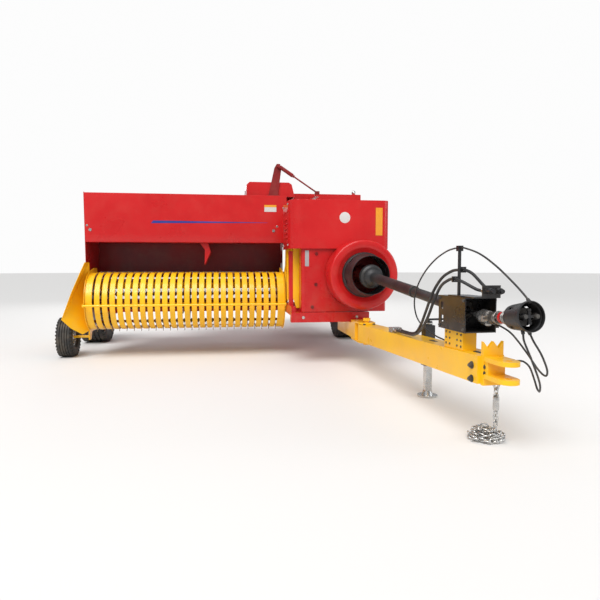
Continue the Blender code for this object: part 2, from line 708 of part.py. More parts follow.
def make_upper_works():
    # cover over the feeder drive, on the housing roof next to the chamber
    shape = new_shape()
    low, high = HOUSE_TOP + GAP, HOUSE_TOP + DRIVE_COVER_H
    plate(
        shape,
        [(-0.640, low), (-0.155, low), (-0.185, high - 0.02), (-0.215, high), (-0.610, high),
         (-0.640, high - 0.03)],
        "X", 0.36, DRIVE_COVER_FRONT,
    )
    cut = new_shape()
    plate(
        cut,
        [(-0.635, low - 0.1), (-0.162, low - 0.1), (-0.162, low), (-0.191, high - 0.02),
         (-0.215, high - 0.005),
         (-0.608, high - 0.005), (-0.635, high - 0.03)],
        "X", 0.365, DRIVE_COVER_FRONT - 0.005,
    )
    solid("feeder_drive_cover", shape, RED, ROOT, cut)

    # beam across the chamber, on two posts
    shape = new_shape()
    beam_low, beam_high = 1.548, 1.610
    box(shape, (0.58, -0.150, beam_low), (0.66, 0.585, beam_high))
    for side in (-1, 1):
        y = side * (CHAMBER_HALF - 0.02)
        box(shape, (0.595, y - 0.02, CHAMBER_TOP + GAP), (0.645, y + 0.02, beam_low + 0.01))
    box(shape, (0.56, -0.255, 1.20), (0.68, -0.215, 1.535))
    box(shape, (0.56, -0.255, CHAMBER_TOP + GAP), (0.68, CHAMBER_HALF, CHAMBER_TOP + 0.012))
    # bracket out to the spring rod
    box(shape, (0.65, 0.045, beam_low + 0.002), (DRIVE_COVER_FRONT + 0.060, 0.090, HOUSE_TOP + 0.0197))
    # ball on a short stem
    ball = (0.62, 0.515, 1.636)
    rod(shape, (0.62, 0.515, beam_high - 0.01), (0.62, 0.515, 1.630), 0.009, 12)
    rod(shape, (0.62, 0.515, beam_high - 0.01), (0.62, 0.515, beam_high + 0.006), 0.022, 16)
    bmesh.ops.create_icosphere(shape, subdivisions=2, radius=0.022, matrix=Matrix.Translation(ball))
    solid("upper_cross_beam", shape, RED, ROOT)

    # arm in front of the cover, and the telescoping spring rod down to the beam
    roof = HOUSE_TOP + GAP
    arm_x = DRIVE_COVER_FRONT + 0.004
    arm_top = HOUSE_TOP + 0.325
    shape = new_shape()
    plate(
        shape,
        [(-0.425, roof), (-0.330, roof), (-0.292, arm_top - 0.05), (-0.305, arm_top), (-0.338, arm_top),
         (-0.362, arm_top - 0.04)],
        "X", arm_x, arm_x + 0.012,
    )
    box(shape, (arm_x, -0.44, roof), (arm_x + 0.06, -0.31, roof + 0.010))
    start = Vector((arm_x + 0.030, -0.322, arm_top - 0.024))
    end = Vector((arm_x + 0.030, 0.065, HOUSE_TOP + 0.045))
    along = (end - start).normalized()
    rod(shape, start - Vector((0.030, 0, 0)), start + Vector((0.012, 0, 0)), 0.018, 16)
    rod(shape, start, end, 0.008, 12)
    rod(shape, start + along * 0.016, start + along * 0.17, 0.019, 16)
    box(shape, (arm_x + 0.012, 0.045, HOUSE_TOP + 0.020), (arm_x + 0.048, 0.090, HOUSE_TOP + 0.058))
    solid("feeder_spring_link", shape, DARK_RED, ROOT)


# ---------------------------------------------------------------- knotters, needles, plunger
def make_knotters():
    shape = new_shape()
    base = CHAMBER_TOP + GAP
    for side in (-1, 1):
        y = side * 0.215
        plate(
            shape,
            [(0.0, base), (0.365, base), (0.365, 1.30), (0.33, 1.36), (0.20, 1.36), (0.0, 1.20)],
            "Y", y - 0.006, y + 0.006,
        )
    shaft_x, shaft_z = 0.300, 1.305
    rod(shape, (shaft_x, -0.25, shaft_z), (shaft_x, 0.25, shaft_z), 0.018, 12)
    box(shape, (0.02, -0.21, 1.165), (0.06, 0.21, 1.205))
    box(shape, (0.335, -0.21, base + 0.002), (0.36, 0.21, base + 0.03))
    for side in (-1, 1):
        y = side * NEEDLE_Y
        rod(shape, (shaft_x, y - 0.035, shaft_z), (shaft_x, y - 0.01, shaft_z), 0.100, 20)
        plate(
            shape,
            [(0.03, 1.17), (0.09, 1.195), (0.21, 1.235), (0.29, 1.29), (0.27, 1.33), (0.14, 1.29),
             (0.03, 1.21)],
            "Y", y - 0.004, y + 0.030,
        )
    # stay that carries the hood's hinge pin
    box(shape, (0.335, -0.21, base), (HOOD_X + 0.014, 0.21, base + 0.014))
    rod(shape, (HOOD_X, -0.290, 1.420), (HOOD_X, 0.290, 1.420), 0.008, 12)
    for side in (-1, 1):
        y = side * 0.283
        box(shape, (HOOD_X - 0.014, y - 0.006, base + 0.005), (HOOD_X + 0.014, y + 0.006, 1.432))
        box(
            shape, (HOOD_X - 0.014, min(side * 0.20, y), base),
            (HOOD_X + 0.014, max(side * 0.20, y), base + 0.015),
        )
    solid("knotter_stack", shape, CAST, ROOT)

    hood = body("knotter_hood", (HOOD_X, 0.0, 1.420), ROOT)
    shape = new_shape()
    outer = [
        (HOOD_X - 0.015, 1.435), (-0.09, 1.435), (-0.125, 1.40), (-0.125, 1.26), (-0.121, 1.26),
        (-0.121, 1.399), (-0.088, 1.431), (HOOD_X - 0.015, 1.431),
    ]
    plate(shape, outer, "Y", -0.268, 0.268)
    for side in (-1, 1):
        plate(
            shape,
            [(HOOD_X - 0.005, 1.4325), (-0.0885, 1.4325), (-0.1225, 1.3995), (-0.1225, 1.262),
             (0.28, 1.262),
             (HOOD_X - 0.005, 1.39)],
            "Y", min(side * 0.268, side * 0.264), max(side * 0.268, side * 0.264),
        )
    rod(shape, (HOOD_X, -0.268, 1.420), (HOOD_X, 0.268, 1.420), 0.0175, 12)
    cut = new_shape()
    rod(cut, (HOOD_X, -0.4, 1.420), (HOOD_X, 0.4, 1.420), 0.0085, 12)
    solid("knotter_hood", shape, RED, hood, cut)


def make_needles():
    yoke = body("needle_yoke", (YOKE_X, 0.0, YOKE_Z), ROOT)
    shape = new_shape()
    centre = (YOKE_X, YOKE_Z)
    foot = arc(centre, NEEDLE_R, -100, -100, 1)[0]
    for side in (-1, 1):
        inner, outer = CHAMBER_HALF + 0.006, CHAMBER_HALF + 0.018
        low, high = sorted((side * inner, side * outer))
        plate(
            shape,
            [(YOKE_X - 0.03, YOKE_Z + 0.02), (foot[0] - 0.025, foot[1] - 0.01),
             (foot[0] + 0.025, foot[1] - 0.015),
             (YOKE_X + 0.03, YOKE_Z + 0.02)],
            "Y", low, high,
        )
        rod(shape, (YOKE_X, low, YOKE_Z), (YOKE_X, high, YOKE_Z), 0.040, 20)
        y = side * NEEDLE_Y
        outline = arc(centre, NEEDLE_R + 0.016, -99, -46, 7) + arc(centre, NEEDLE_R, -41, -41, 1)[:1]
        outline += list(reversed(arc(centre, NEEDLE_R - 0.016, -99, -46, 7)))
        plate(shape, outline, "Y", y - 0.007, y + 0.007)
    rod(
        shape, (foot[0], -CHAMBER_HALF - 0.014, foot[1]), (foot[0], CHAMBER_HALF + 0.014, foot[1]),
        0.020, 16,
    )
    cut = new_shape()
    rod(cut, (YOKE_X, -1, YOKE_Z), (YOKE_X, 1, YOKE_Z), 0.0155, 20)
    solid("needle_yoke", shape, STEEL, yoke, cut)


def make_plunger():
    ram = body("plunger", (1.05, 0.0, CHAMBER_FLOOR + BALE_H / 2), ROOT)
    shape = new_shape()
    clear = 0.006
    half = BALE_W / 2 - clear
    low, high = CHAMBER_FLOOR + clear, CHAMBER_FLOOR + BALE_H - clear
    box(shape, (0.80, -half, low), (0.84, half, high))
    for side in (-1, 1):
        box(
            shape, (0.83, side * half - (0.03 if side > 0 else 0), low),
            (1.36, side * half + (0.03 if side < 0 else 0), high),
        )
    box(shape, (0.83, -half + 0.01, low), (1.36, half - 0.01, low + 0.03))
    box(shape, (0.90, -half + 0.02, CHAMBER_FLOOR + GAP), (1.30, half - 0.02, low + 0.01))
    cut = new_shape()
    for side in (-1, 1):
        y = side * NEEDLE_Y
        box(cut, (0.7, y - 0.02, low - 0.1), (0.822, y + 0.02, high + 0.1))
    solid("plunger", shape, STEEL, ram, cut)


def make_tension():
    """Rails above and below the rear of the chamber, squeezed by two spring screws with cranks."""
    shape = new_shape()
    x = -1.12
    top, bottom = CHAMBER_TOP + 0.060, CHAMBER_BOTTOM - 0.060
    for side in (-1, 1):
        y = side * (CHAMBER_HALF + 0.055)
        rod(shape, (x, y, bottom - 0.04), (x, y, top + 0.16), 0.012, 10)
        rod(shape, (x, y, top - 0.01), (x, y, top + 0.11), 0.026, 12)
        rod(shape, (x, y, top + 0.15), (x + 0.11, y, top + 0.15), 0.009, 8)
        rod(shape, (x + 0.10, y, top + 0.145), (x + 0.10, y, top + 0.235), 0.009, 8)
    half = CHAMBER_HALF + 0.085
    for height, up in ((top, 1), (bottom, -1)):
        low, high = sorted((height, height - up * 0.035))
        box(shape, (x - 0.04, -half, low), (x + 0.04, half, high))
        for y in (-0.13, 0.13):
            low, high = sorted((height - up * 0.03, height - up * (0.060 - GAP)))
            box(shape, (x - 0.07, y - 0.03, low), (x + 0.22, y + 0.03, high))
    solid("bale_tension_frame", shape, RED, ROOT)


def make_chute():
    chute = body("bale_chute", (CHAMBER_REAR - CHUTE_BACK, 0.0, CHAMBER_BOTTOM - CHUTE_DROP), ROOT)
    shape = new_shape()
    x, z = CHAMBER_REAR - CHUTE_BACK, CHAMBER_BOTTOM - CHUTE_DROP
    half = CHAMBER_HALF - 0.02
    plate(
        shape,
        [(x - 0.02, z + 0.006), (x - 0.45, z + 0.012), (x - 0.47, z - 0.018), (x - 0.462, z - 0.022),
         (x - 0.446, z + 0.006), (x - 0.02, z - 0.002)],
        "Y", -half, half,
    )
    for side in (-1, 1):
        y = side * half
        plate(
            shape,
            [(x - 0.02, z - 0.004), (x - 0.44, z + 0.004), (x - 0.44, z + 0.055), (x - 0.10, z + 0.075),
             (x - 0.02, z + 0.02)],
            "Y", min(y, y - side * 0.005), max(y, y - side * 0.005),
        )
    rod(shape, (x, -half, z), (x, half, z), 0.014, 14)
    box(shape, (x - 0.03, -half, z - 0.005), (x - 0.003, half, z + 0.005))
    cut = new_shape()
    rod(cut, (x, -1, z), (x, 1, z), 0.0085, 14)
    solid("bale_chute", shape, RED, chute, cut)


def make_twine_box():
    x0, x1 = -0.42, 0.33
    y0, y1 = -1.42, -0.42
    z0, z1 = 0.96, 1.42
    shape = new_shape()
    box(shape, (x0, y0, z0), (x1, y1, z1))
    # feet on the axle, and a bracket to the chamber
    for y in (y0 + 0.12, y1 - 0.12):
        box(shape, (-0.04, y - 0.03, SIDE_RAIL_Z), (0.04, y + 0.03, z0 + 0.01))
    box(shape, (-0.02, y1 - 0.003, z0 + 0.02), (0.06, -(CHAMBER_HALF + GAP), z0 + 0.07))
    # pin and lugs of the lid hinge
    hinge_y = y1 - 0.010
    hinge_z = z1 + 0.016
    rod(shape, (x0 + 0.005, hinge_y, hinge_z), (x1 - 0.005, hinge_y, hinge_z), 0.006, 14)
    for x in (x0 + 0.005, x1 - 0.030):
        box(shape, (x, hinge_y + 0.0005, z1 - 0.02), (x + 0.025, hinge_y + 0.010, hinge_z + 0.010))
        box(shape, (x, hinge_y - 0.010, z1 + 0.001), (x + 0.025, hinge_y + 0.0095, hinge_z + 0.010))
    cut = new_shape()
    box(cut, (x0 + SHEET, y0 + SHEET, z0 + SHEET), (x1 - SHEET, y1 - SHEET, z1 + 0.0005))
    solid("twine_box", shape, RED, ROOT, cut)

    lid = body("twine_box_lid", ((x0 + x1) / 2, hinge_y, hinge_z), ROOT)
    shape = new_shape()
    box(shape, (x0 - 0.008, y0 - 0.010, z1 + 0.0005), (x1 + 0.008, hinge_y - 0.012, z1 + 0.0065))
    for x in (x0 - 0.008, x1 + 0.004):
        box(shape, (x, y0 - 0.010, z1 - 0.03), (x + SHEET, hinge_y - 0.012, z1 + 0.005))
    box(shape, (x0 - 0.008, y0 - 0.010, z1 - 0.03), (x1 + 0.008, y0 - 0.006, z1 + 0.005))
    box(shape, (x0 + 0.05, hinge_y - 0.030, z1 + 0.002), (x1 - 0.05, hinge_y, z1 + 0.012))
    rod(shape, (x0 + 0.05, hinge_y, hinge_z), (x1 - 0.05, hinge_y, hinge_z), 0.012, 14)
    cut = new_shape()
    rod(cut, (x0 - 1, hinge_y, hinge_z), (x1 + 1, hinge_y, hinge_z), 0.0065, 14)
    solid("twine_box_lid", shape, RED, lid, cut)


# ---------------------------------------------------------------- pickup
def band_outline(radius, back):
    """Side outline of the drum: two straight runs back from a half round."""
    top = (back, REEL_Z + radius)
    low = (back, REEL_Z - radius)
    return [top] + arc((REEL_X, REEL_Z), radius, 90, -90, 8) + [low]


def make_pickup():
    pickup = body(
        "pickup", (PICKUP_HINGE_X, (PICKUP_INNER_Y + PICKUP_OUTER_Y) / 2, PICKUP_HINGE_Z), ROOT,
    )
    back = 0.800
    inner, outer = PICKUP_INNER_Y - SHEET - GAP, PICKUP_OUTER_Y + SHEET + GAP
    shape = new_shape()
    outside = band_outline(BAND_R + BAND_T, back)
    inside = list(reversed(band_outline(BAND_R, back)))
    plate(shape, outside + inside, "Y", outer, inner)
    cut = new_shape()
    for row in range(TINE_ROWS):
        y = FIRST_TINE_Y - row * TINE_PITCH
        box(cut, (0.862, y - SLOT_W / 2, REEL_Z - 0.35), (REEL_X + 0.35, y + SLOT_W / 2, REEL_Z + 0.35))
    solid("pickup_bands", shape, YELLOW, pickup, cut)

    # end sheets, back tube and hinge lugs
    shape = new_shape()
    ends = ((PICKUP_INNER_Y, PICKUP_INNER_Y - SHEET), (PICKUP_OUTER_Y, PICKUP_OUTER_Y + SHEET))
    profile = [(0.70, 0.560), (0.72, 0.36), (0.86, REEL_Z - BAND_R - 0.022)]
    profile += arc((REEL_X, REEL_Z), BAND_R + 0.022, -90, 78, 9)
    profile += [(0.93, 0.832), (0.815, 0.832), (0.800, 0.765), (0.70, 0.720)]
    for a, b in ends:
        plate(shape, profile, "Y", min(a, b), max(a, b))
    tube_x, tube_z = 0.700, 0.470
    rod(shape, (tube_x, PICKUP_OUTER_Y, tube_z), (tube_x, PICKUP_INNER_Y, tube_z), 0.035, 20)
    box(shape, (0.690, PICKUP_OUTER_Y + 0.001, 0.62), (0.698, PICKUP_INNER_Y - 0.001, 0.72))
    for y in (PICKUP_OUTER_Y + 0.02, PICKUP_INNER_Y - 0.02):
        plate(
            shape,
            [(0.675, 0.46), (0.725, 0.46), (0.725, 0.70),
             (PICKUP_HINGE_X + 0.018, PICKUP_HINGE_Z - 0.01),
             (PICKUP_HINGE_X + 0.018, PICKUP_HINGE_Z + 0.006),
             (PICKUP_HINGE_X - 0.018, PICKUP_HINGE_Z + 0.006),
             (0.675, 0.70)],
            "Y", y - 0.008, y + 0.008,
        )
        rod(
            shape, (PICKUP_HINGE_X, y - 0.008, PICKUP_HINGE_Z),
            (PICKUP_HINGE_X, y + 0.008, PICKUP_HINGE_Z), 0.0175, 18,
        )
    # cross bar in front of the bands
    bar_x, bar_z = REEL_X + BAND_R + 0.075, 0.500
    rod(shape, (bar_x, PICKUP_OUTER_Y, bar_z), (bar_x, PICKUP_INNER_Y, bar_z), 0.011, 16)
    for y in (PICKUP_OUTER_Y + 0.002, PICKUP_INNER_Y - 0.002):
        plate(
            shape,
            [(REEL_X + 0.20, bar_z + 0.03), (bar_x + 0.012, bar_z + 0.014),
             (bar_x + 0.012, bar_z - 0.014),
             (REEL_X + 0.20, bar_z - 0.03)],
            "Y", y - 0.0019, y + 0.0019,
        )
    # arm for the gauge wheel
    arm_y = PICKUP_OUTER_Y - 0.022
    gauge = (1.025, GAUGE_Y, GAUGE_R)
    rod(shape, (0.90, PICKUP_OUTER_Y + 0.002, 0.42), (0.90, arm_y - 0.014, 0.42), 0.030, 18)
    plate(
        shape,
        [(0.87, 0.44), (0.93, 0.44), (1.055, 0.20), (1.050, 0.155), (0.995, 0.155), (0.87, 0.38)],
        "Y", arm_y - 0.012, arm_y,
    )
    rod(shape, (gauge[0], arm_y, gauge[2]), (gauge[0], GAUGE_Y - 0.060, gauge[2]), 0.0125, 18)
    cut = new_shape()
    rod(cut, (PICKUP_HINGE_X, 0.5, PICKUP_HINGE_Z), (PICKUP_HINGE_X, -3, PICKUP_HINGE_Z), 0.0085, 18)
    rod(cut, (REEL_X, PICKUP_INNER_Y - 0.1, REEL_Z), (REEL_X, 0, REEL_Z), 0.0205, 20)
    rod(cut, (REEL_X, PICKUP_OUTER_Y + 0.1, REEL_Z), (REEL_X, -3, REEL_Z), 0.0205, 20)
    solid("pickup_frame", shape, YELLOW, pickup, cut)

    # flared sheet that leads the windrow in
    shape = new_shape()
    y0 = PICKUP_OUTER_Y - GAP
    rim = [
        (1.095, y0, 0.885), (1.095, y0, 0.255), (1.19, y0 - 0.050, 0.225), (1.28, y0 - 0.125, 0.290),
        (1.335, y0 - 0.190, 0.375), (1.330, y0 - 0.100, 0.620), (1.30, y0 - 0.028, 0.800),
        (1.24, y0 - 0.004, 0.885),
    ]
    back_side = [Vector(p) for p in rim]
    front_side = [Vector(p) + Vector((0.0030, -0.0050, 0.0)) for p in rim]
    first_ring = [shape.verts.new(p) for p in back_side]
    second_ring = [shape.verts.new(p) for p in front_side]
    for a in range(1, len(rim) - 1):
        shape.faces.new((first_ring[0], first_ring[a], first_ring[a + 1]))
        shape.faces.new((second_ring[0], second_ring[a + 1], second_ring[a]))
    for a in range(len(rim)):
        b = (a + 1) % len(rim)
        shape.faces.new((first_ring[a], second_ring[a], second_ring[b], first_ring[b]))
    solid("pickup_flare", shape, YELLOW, pickup)

    # reel
    reel = body("pickup_reel", (REEL_X, (PICKUP_INNER_Y + PICKUP_OUTER_Y) / 2, REEL_Z), pickup)
    shape = new_shape()
    rod(
        shape, (REEL_X, PICKUP_OUTER_Y - 0.010, REEL_Z), (REEL_X, PICKUP_INNER_Y + 0.0030, REEL_Z),
        0.020, 20,
    )
    bar_r = 0.200
    for y in (PICKUP_OUTER_Y + 0.030, (PICKUP_OUTER_Y + PICKUP_INNER_Y) / 2, PICKUP_INNER_Y - 0.022):
        rod(shape, (REEL_X, y - 0.004, REEL_Z), (REEL_X, y + 0.004, REEL_Z), 0.226, 24)
    for number in range(TINE_BARS):
        turn = math.radians(22.0 + 360.0 * number / TINE_BARS)
        out = Vector((math.cos(turn), 0.0, math.sin(turn)))
        middle = Vector((REEL_X, 0.0, REEL_Z)) + out * bar_r
        rod(
            shape, middle + Vector((0, PICKUP_OUTER_Y + 0.024, 0)),
            middle + Vector((0, PICKUP_INNER_Y - 0.016, 0)),
            0.0165, 8,
        )
        for row in range(TINE_ROWS):
            y = FIRST_TINE_Y - row * TINE_PITCH
            base = Vector((REEL_X, y, REEL_Z)) + out * (bar_r + 0.008)
            rod(shape, base, Vector((REEL_X, y, REEL_Z)) + out * TINE_R, 0.005, 3)
    solid("pickup_reel", shape, STEEL, reel)

    wheel = body("gauge_wheel", gauge, pickup)
    make_wheel("gauge_wheel", gauge, GAUGE_R, GAUGE_W, 0.076, wheel, 0.0125, ZINC, 0.0, 18)

    # drive guard beside the inner end
    shape = new_shape()
    guard_y = (PICKUP_INNER_Y + 0.006, -(CHAMBER_HALF + 0.024))
    plate(
        shape,
        [(0.96, 0.505), (1.18, 0.505), (1.22, 0.56), (1.30, 0.80), (1.42, 0.84), (1.42, 1.10),
         (1.30, 1.10),
         (1.25, 0.86), (0.96, 0.66)],
        "Y", guard_y[0], guard_y[1],
    )
    box(shape, (1.32, guard_y[1] - 0.01, 0.93), (1.40, -(CHAMBER_HALF + GAP), 1.03))
    # its front flange closes the gap beside the chamber
    box(shape, (1.405, guard_y[0], 0.540), (1.425, -(CHAMBER_HALF + GAP), 1.115))
    solid("pickup_drive_guard", shape, YELLOW, ROOT)


# ---------------------------------------------------------------- front shield and drive
def shield_plan(right, left, front, back, radius_right, radius_left):
    """Plan outline of a cover: two sides and a front with rounded corners."""
    points = [(back, right)]
    points += arc((front - radius_right, right + radius_right), radius_right, -90, 0, 7)
    points += arc((front - radius_left, left - radius_left), radius_left, 0, 90, 5)
    points += [(back, left)]
    return points


def make_shield():
    shape = new_shape()
    plan = shield_plan(SHIELD_RIGHT, SHIELD_LEFT, SHIELD_FRONT, SHIELD_REAR, 0.110, 0.050)
    plate(shape, plan, "Z", SHIELD_STEP, SHIELD_TOP)
    cut = new_shape()
    wall = SHEET
    plan = shield_plan(
        SHIELD_RIGHT + wall, SHIELD_LEFT - wall, SHIELD_FRONT - wall, SHIELD_REAR - 0.2, 0.106, 0.046
    )
    plate(cut, plan, "Z", SHIELD_STEP - 0.2, SHIELD_TOP - wall)
    solid("front_shield", shape, RED, ROOT, cut)

    # lower panel, set back under the step of the cover above
    face = LOWER_PANEL_X
    low_right, low_left = LOWER_PANEL_RIGHT, SHIELD_LEFT - 0.016
    shape = new_shape()
    plan = shield_plan(low_right, low_left, face, 1.630, 0.030, 0.030)
    plate(shape, plan, "Z", SHIELD_BOTTOM, SHIELD_STEP + 0.030)
    cut = new_shape()
    plan = shield_plan(low_right + wall, low_left - wall, face - wall, 1.5, 0.026, 0.026)
    plate(cut, plan, "Z", SHIELD_BOTTOM - 0.1, SHIELD_STEP + 0.1)
    rod(cut, (face - 0.1, DRIVE_Y, FLYWHEEL_Z), (face + 0.1, DRIVE_Y, FLYWHEEL_Z), BOSS_R + GAP, 24)
    solid("front_shield_lower", shape, RED, ROOT, cut)

    shape = new_shape()
    box(shape, (CHAMBER_FRONT + GAP, 0.06, 0.60), (1.745, 0.50, 1.12))
    box(shape, (CHAMBER_FRONT + GAP, -0.20, 0.86), (1.70, 0.10, 1.08))
    rod(shape, (1.73, DRIVE_Y, FLYWHEEL_Z), (1.776, DRIVE_Y, FLYWHEEL_Z), BOSS_R, 24)
    solid("gearbox", shape, CAST, ROOT)


def make_flywheel():
    guard = new_shape()
    wall = 0.004
    back = SHIELD_FRONT + GAP
    centre = (0.0, DRIVE_Y, FLYWHEEL_Z)
    outline = [
        (GUARD_R, back), (GUARD_R, 2.005), (GUARD_R - 0.010, 2.020), (0.222, 2.020), (0.1885, 1.996),
        (0.1655, 1.996), (0.1655, 1.990), (0.190, 1.990), (0.223, 2.013), (GUARD_R - 0.014, 2.012),
        (GUARD_R - wall, 2.001), (GUARD_R - wall, back),
    ]
    turned(guard, outline, centre, (1, 0, 0), 28)
    solid("flywheel_guard", guard, RED, ROOT)

    wheel = body("flywheel", (1.90, DRIVE_Y, FLYWHEEL_Z), ROOT)
    shape = new_shape()
    outline = [
        (0.0005, 1.7765), (0.030, 1.7765), (0.030, 1.860), (0.070, 1.865), (0.190, 1.825),
        (FLYWHEEL_R, 1.825),
        (FLYWHEEL_R, 1.955), (0.205, 1.955), (0.185, 1.885), (0.085, 1.905), (0.060, 1.960),
        (0.040, 2.020), (0.0005, 2.020),
    ]
    turned(shape, outline, centre, (1, 0, 0), 24)
    for side in (-1, 1):
        y = DRIVE_Y + side * 0.036
        box(shape, (2.010, y - 0.008, FLYWHEEL_Z - 0.020), (JOINT_X, y + 0.008, FLYWHEEL_Z + 0.020))
        rod(shape, (JOINT_X, y - 0.008, FLYWHEEL_Z), (JOINT_X, y + 0.008, FLYWHEEL_Z), 0.020, 16)
    box(
        shape, (2.005, DRIVE_Y - 0.044, FLYWHEEL_Z - 0.020),
        (2.030, DRIVE_Y + 0.044, FLYWHEEL_Z + 0.020),
    )
    rod(shape, (JOINT_X, DRIVE_Y - 0.040, FLYWHEEL_Z), (JOINT_X, DRIVE_Y + 0.040, FLYWHEEL_Z), 0.010, 12)
    arm = CROSS_ARM
    rod(shape, (JOINT_X, DRIVE_Y, FLYWHEEL_Z - arm), (JOINT_X, DRIVE_Y, FLYWHEEL_Z + arm), 0.0065, 12)
    solid("flywheel", shape, DARK_RED, wheel)

    shape = new_shape()
    outline = [
        (0.163, 1.9863), (0.163, 1.9963), (0.186, 1.9963), (0.186, 2.020), (0.176, 2.032),
        (0.150, 2.190), (0.156, 2.215),
        (0.151, 2.218), (0.144, 2.190), (0.170, 2.028), (0.154, 1.9923), (0.154, 1.9863),
    ]
    turned(shape, outline, centre, (1, 0, 0), 20)
    solid("pto_bell_guard", shape, PLASTIC, ROOT)


# ---------------------------------------------------------------- tongue
def make_tongue():
    tongue = body("tongue", (JOINT_X, DRIVE_Y, TONGUE_Z + TONGUE_H / 2), ROOT, TONGUE_YAW)
    half = TONGUE_W / 2
    top = TONGUE_Z + TONGUE_H
    rise = TONGUE_RISE / (TONGUE_END - JOINT_X)

    def lift(x):
        return max(0.0, (x - JOINT_X) * rise)

    shape = new_shape()
    verts = box(shape, (JOINT_X, DRIVE_Y - half, TONGUE_Z), (TONGUE_END, DRIVE_Y + half, top))
    for vert in verts:
        vert.co.z += lift(vert.co.x)
    rod(shape, (JOINT_X, DRIVE_Y, TONGUE_Z), (JOINT_X, DRIVE_Y, top), half - 0.0005, 32)
    cut = new_shape()
    rod(cut, (JOINT_X, DRIVE_Y, 0), (JOINT_X, DRIVE_Y, 1), TONGUE_PIN_R + 0.0004, 20)
    column_top = BOX_Z - GAP
    box(shape, (3.580, DRIVE_Y - 0.055, top - 0.02), (3.780, DRIVE_Y + 0.020, column_top))
    solid("tongue_beam", shape, YELLOW, tongue, cut)

    # hitch clevis
    shape = new_shape()
    z = TONGUE_Z + lift(TONGUE_END)
    x0 = TONGUE_END + GAP
    plate(
        shape,
        [(DRIVE_Y - 0.052, z - 0.005), (DRIVE_Y + 0.052, z - 0.005), (DRIVE_Y + 0.052, z + 0.205),
         (DRIVE_Y + 0.026, z + 0.172), (DRIVE_Y, z + 0.205), (DRIVE_Y - 0.026, z + 0.172),
         (DRIVE_Y - 0.052, z + 0.205)],
        "X", x0, x0 + 0.022,
    )
    for low in (z + 0.030, z + 0.112):
        plate(
            shape,
            [(x0 + 0.015, DRIVE_Y - 0.05), (x0 + 0.14, DRIVE_Y - 0.05)]
            + arc((x0 + 0.150, DRIVE_Y), 0.048, -80, 80, 8)
            + [(x0 + 0.14, DRIVE_Y + 0.05), (x0 + 0.015, DRIVE_Y + 0.05)],
            "Z", low, low + 0.022,
        )
    box(shape, (x0 + 0.015, DRIVE_Y - 0.045, z + 0.04), (x0 + 0.05, DRIVE_Y + 0.045, z + 0.125))
    cut = new_shape()
    rod(cut, (x0 + 0.150, DRIVE_Y, 0), (x0 + 0.150, DRIVE_Y, 1), 0.0165, 20)
    solid("hitch_clevis", shape, YELLOW, tongue, cut)

    # column and drive support box
    shape = new_shape()
    y0, y1 = DRIVE_Y - BOX_W / 2, DRIVE_Y + BOX_W / 2
    box(shape, (BOX_REAR, y0, BOX_Z), (BOX_FRONT, y1, BOX_Z + BOX_H))
    x, y, z = CABLES["guard_cable"][0]
    box(shape, (x - 0.045, y1 - 0.004, z - 0.012), (BOX_FRONT, y + 0.010, z + 0.012))
    cut = new_shape()
    wall = 0.005
    box(
        cut, (BOX_REAR - 0.1, y0 + wall, BOX_Z + wall),
        (BOX_REAR + 0.10, y1 - wall, BOX_Z + BOX_H - wall),
    )
    box(
        cut, (BOX_REAR + 0.115, y0 + wall, BOX_Z + wall),
        (BOX_FRONT + 0.1, y1 - wall, BOX_Z + BOX_H - wall),
    )
    line = shaft_line((BOX_REAR + BOX_FRONT) / 2)
    rod(cut, (BOX_REAR, DRIVE_Y, line), (BOX_FRONT, DRIVE_Y, line), 0.024, 20)
    for low in (BOX_Z + 0.035, BOX_Z + 0.105):
        box(cut, (BOX_REAR + 0.03, y0 - 0.05, low), (BOX_REAR + 0.055, y1 + 0.05, low + 0.035))
    solid("pto_support_box", shape, BLACK, tongue, cut)

    # drive line: rear shaft with its guard tube, middle joint, front shaft with its guard
    rear_centre = Vector((JOINT_X, DRIVE_Y, FLYWHEEL_Z))
    middle = Vector((MID_JOINT_X, DRIVE_Y, MID_JOINT_Z))
    along = (middle - rear_centre).normalized()
    shaft = body("pto_rear_shaft", rear_centre, tongue)
    shape = new_shape()
    rod(shape, rear_centre + along * 0.040, middle - along * 0.050, 0.015, 16)
    for centre, way in ((rear_centre, 1), (middle, -1)):
        rod(shape, centre + along * way * 0.062, centre + along * way * 0.040, 0.030, 16)
        for side in (-1, 1):
            ear = Vector((0, 0, 1)).cross(along).cross(along).normalized() * side * 0.029
            rod(shape, centre + ear + along * way * 0.050, centre + ear, 0.0085, 10)
    solid("pto_rear_shaft", shape, ZINC, shaft)

    shape = new_shape()
    start = rear_centre + along * 0.072
    end = rear_centre + along * ((BOX_REAR + 0.0963 - JOINT_X) / along.x)
    step = rear_centre + along * 0.95
    rod(shape, start, step, PTO_TUBE_R, 20)
    rod(shape, step - along * 0.02, end, PTO_TUBE_R - 0.006, 20)
    cut = new_shape()
    rod(cut, start - along, end + along, 0.0185, 20)
    solid("pto_guard_tube", shape, PLASTIC, tongue, cut)

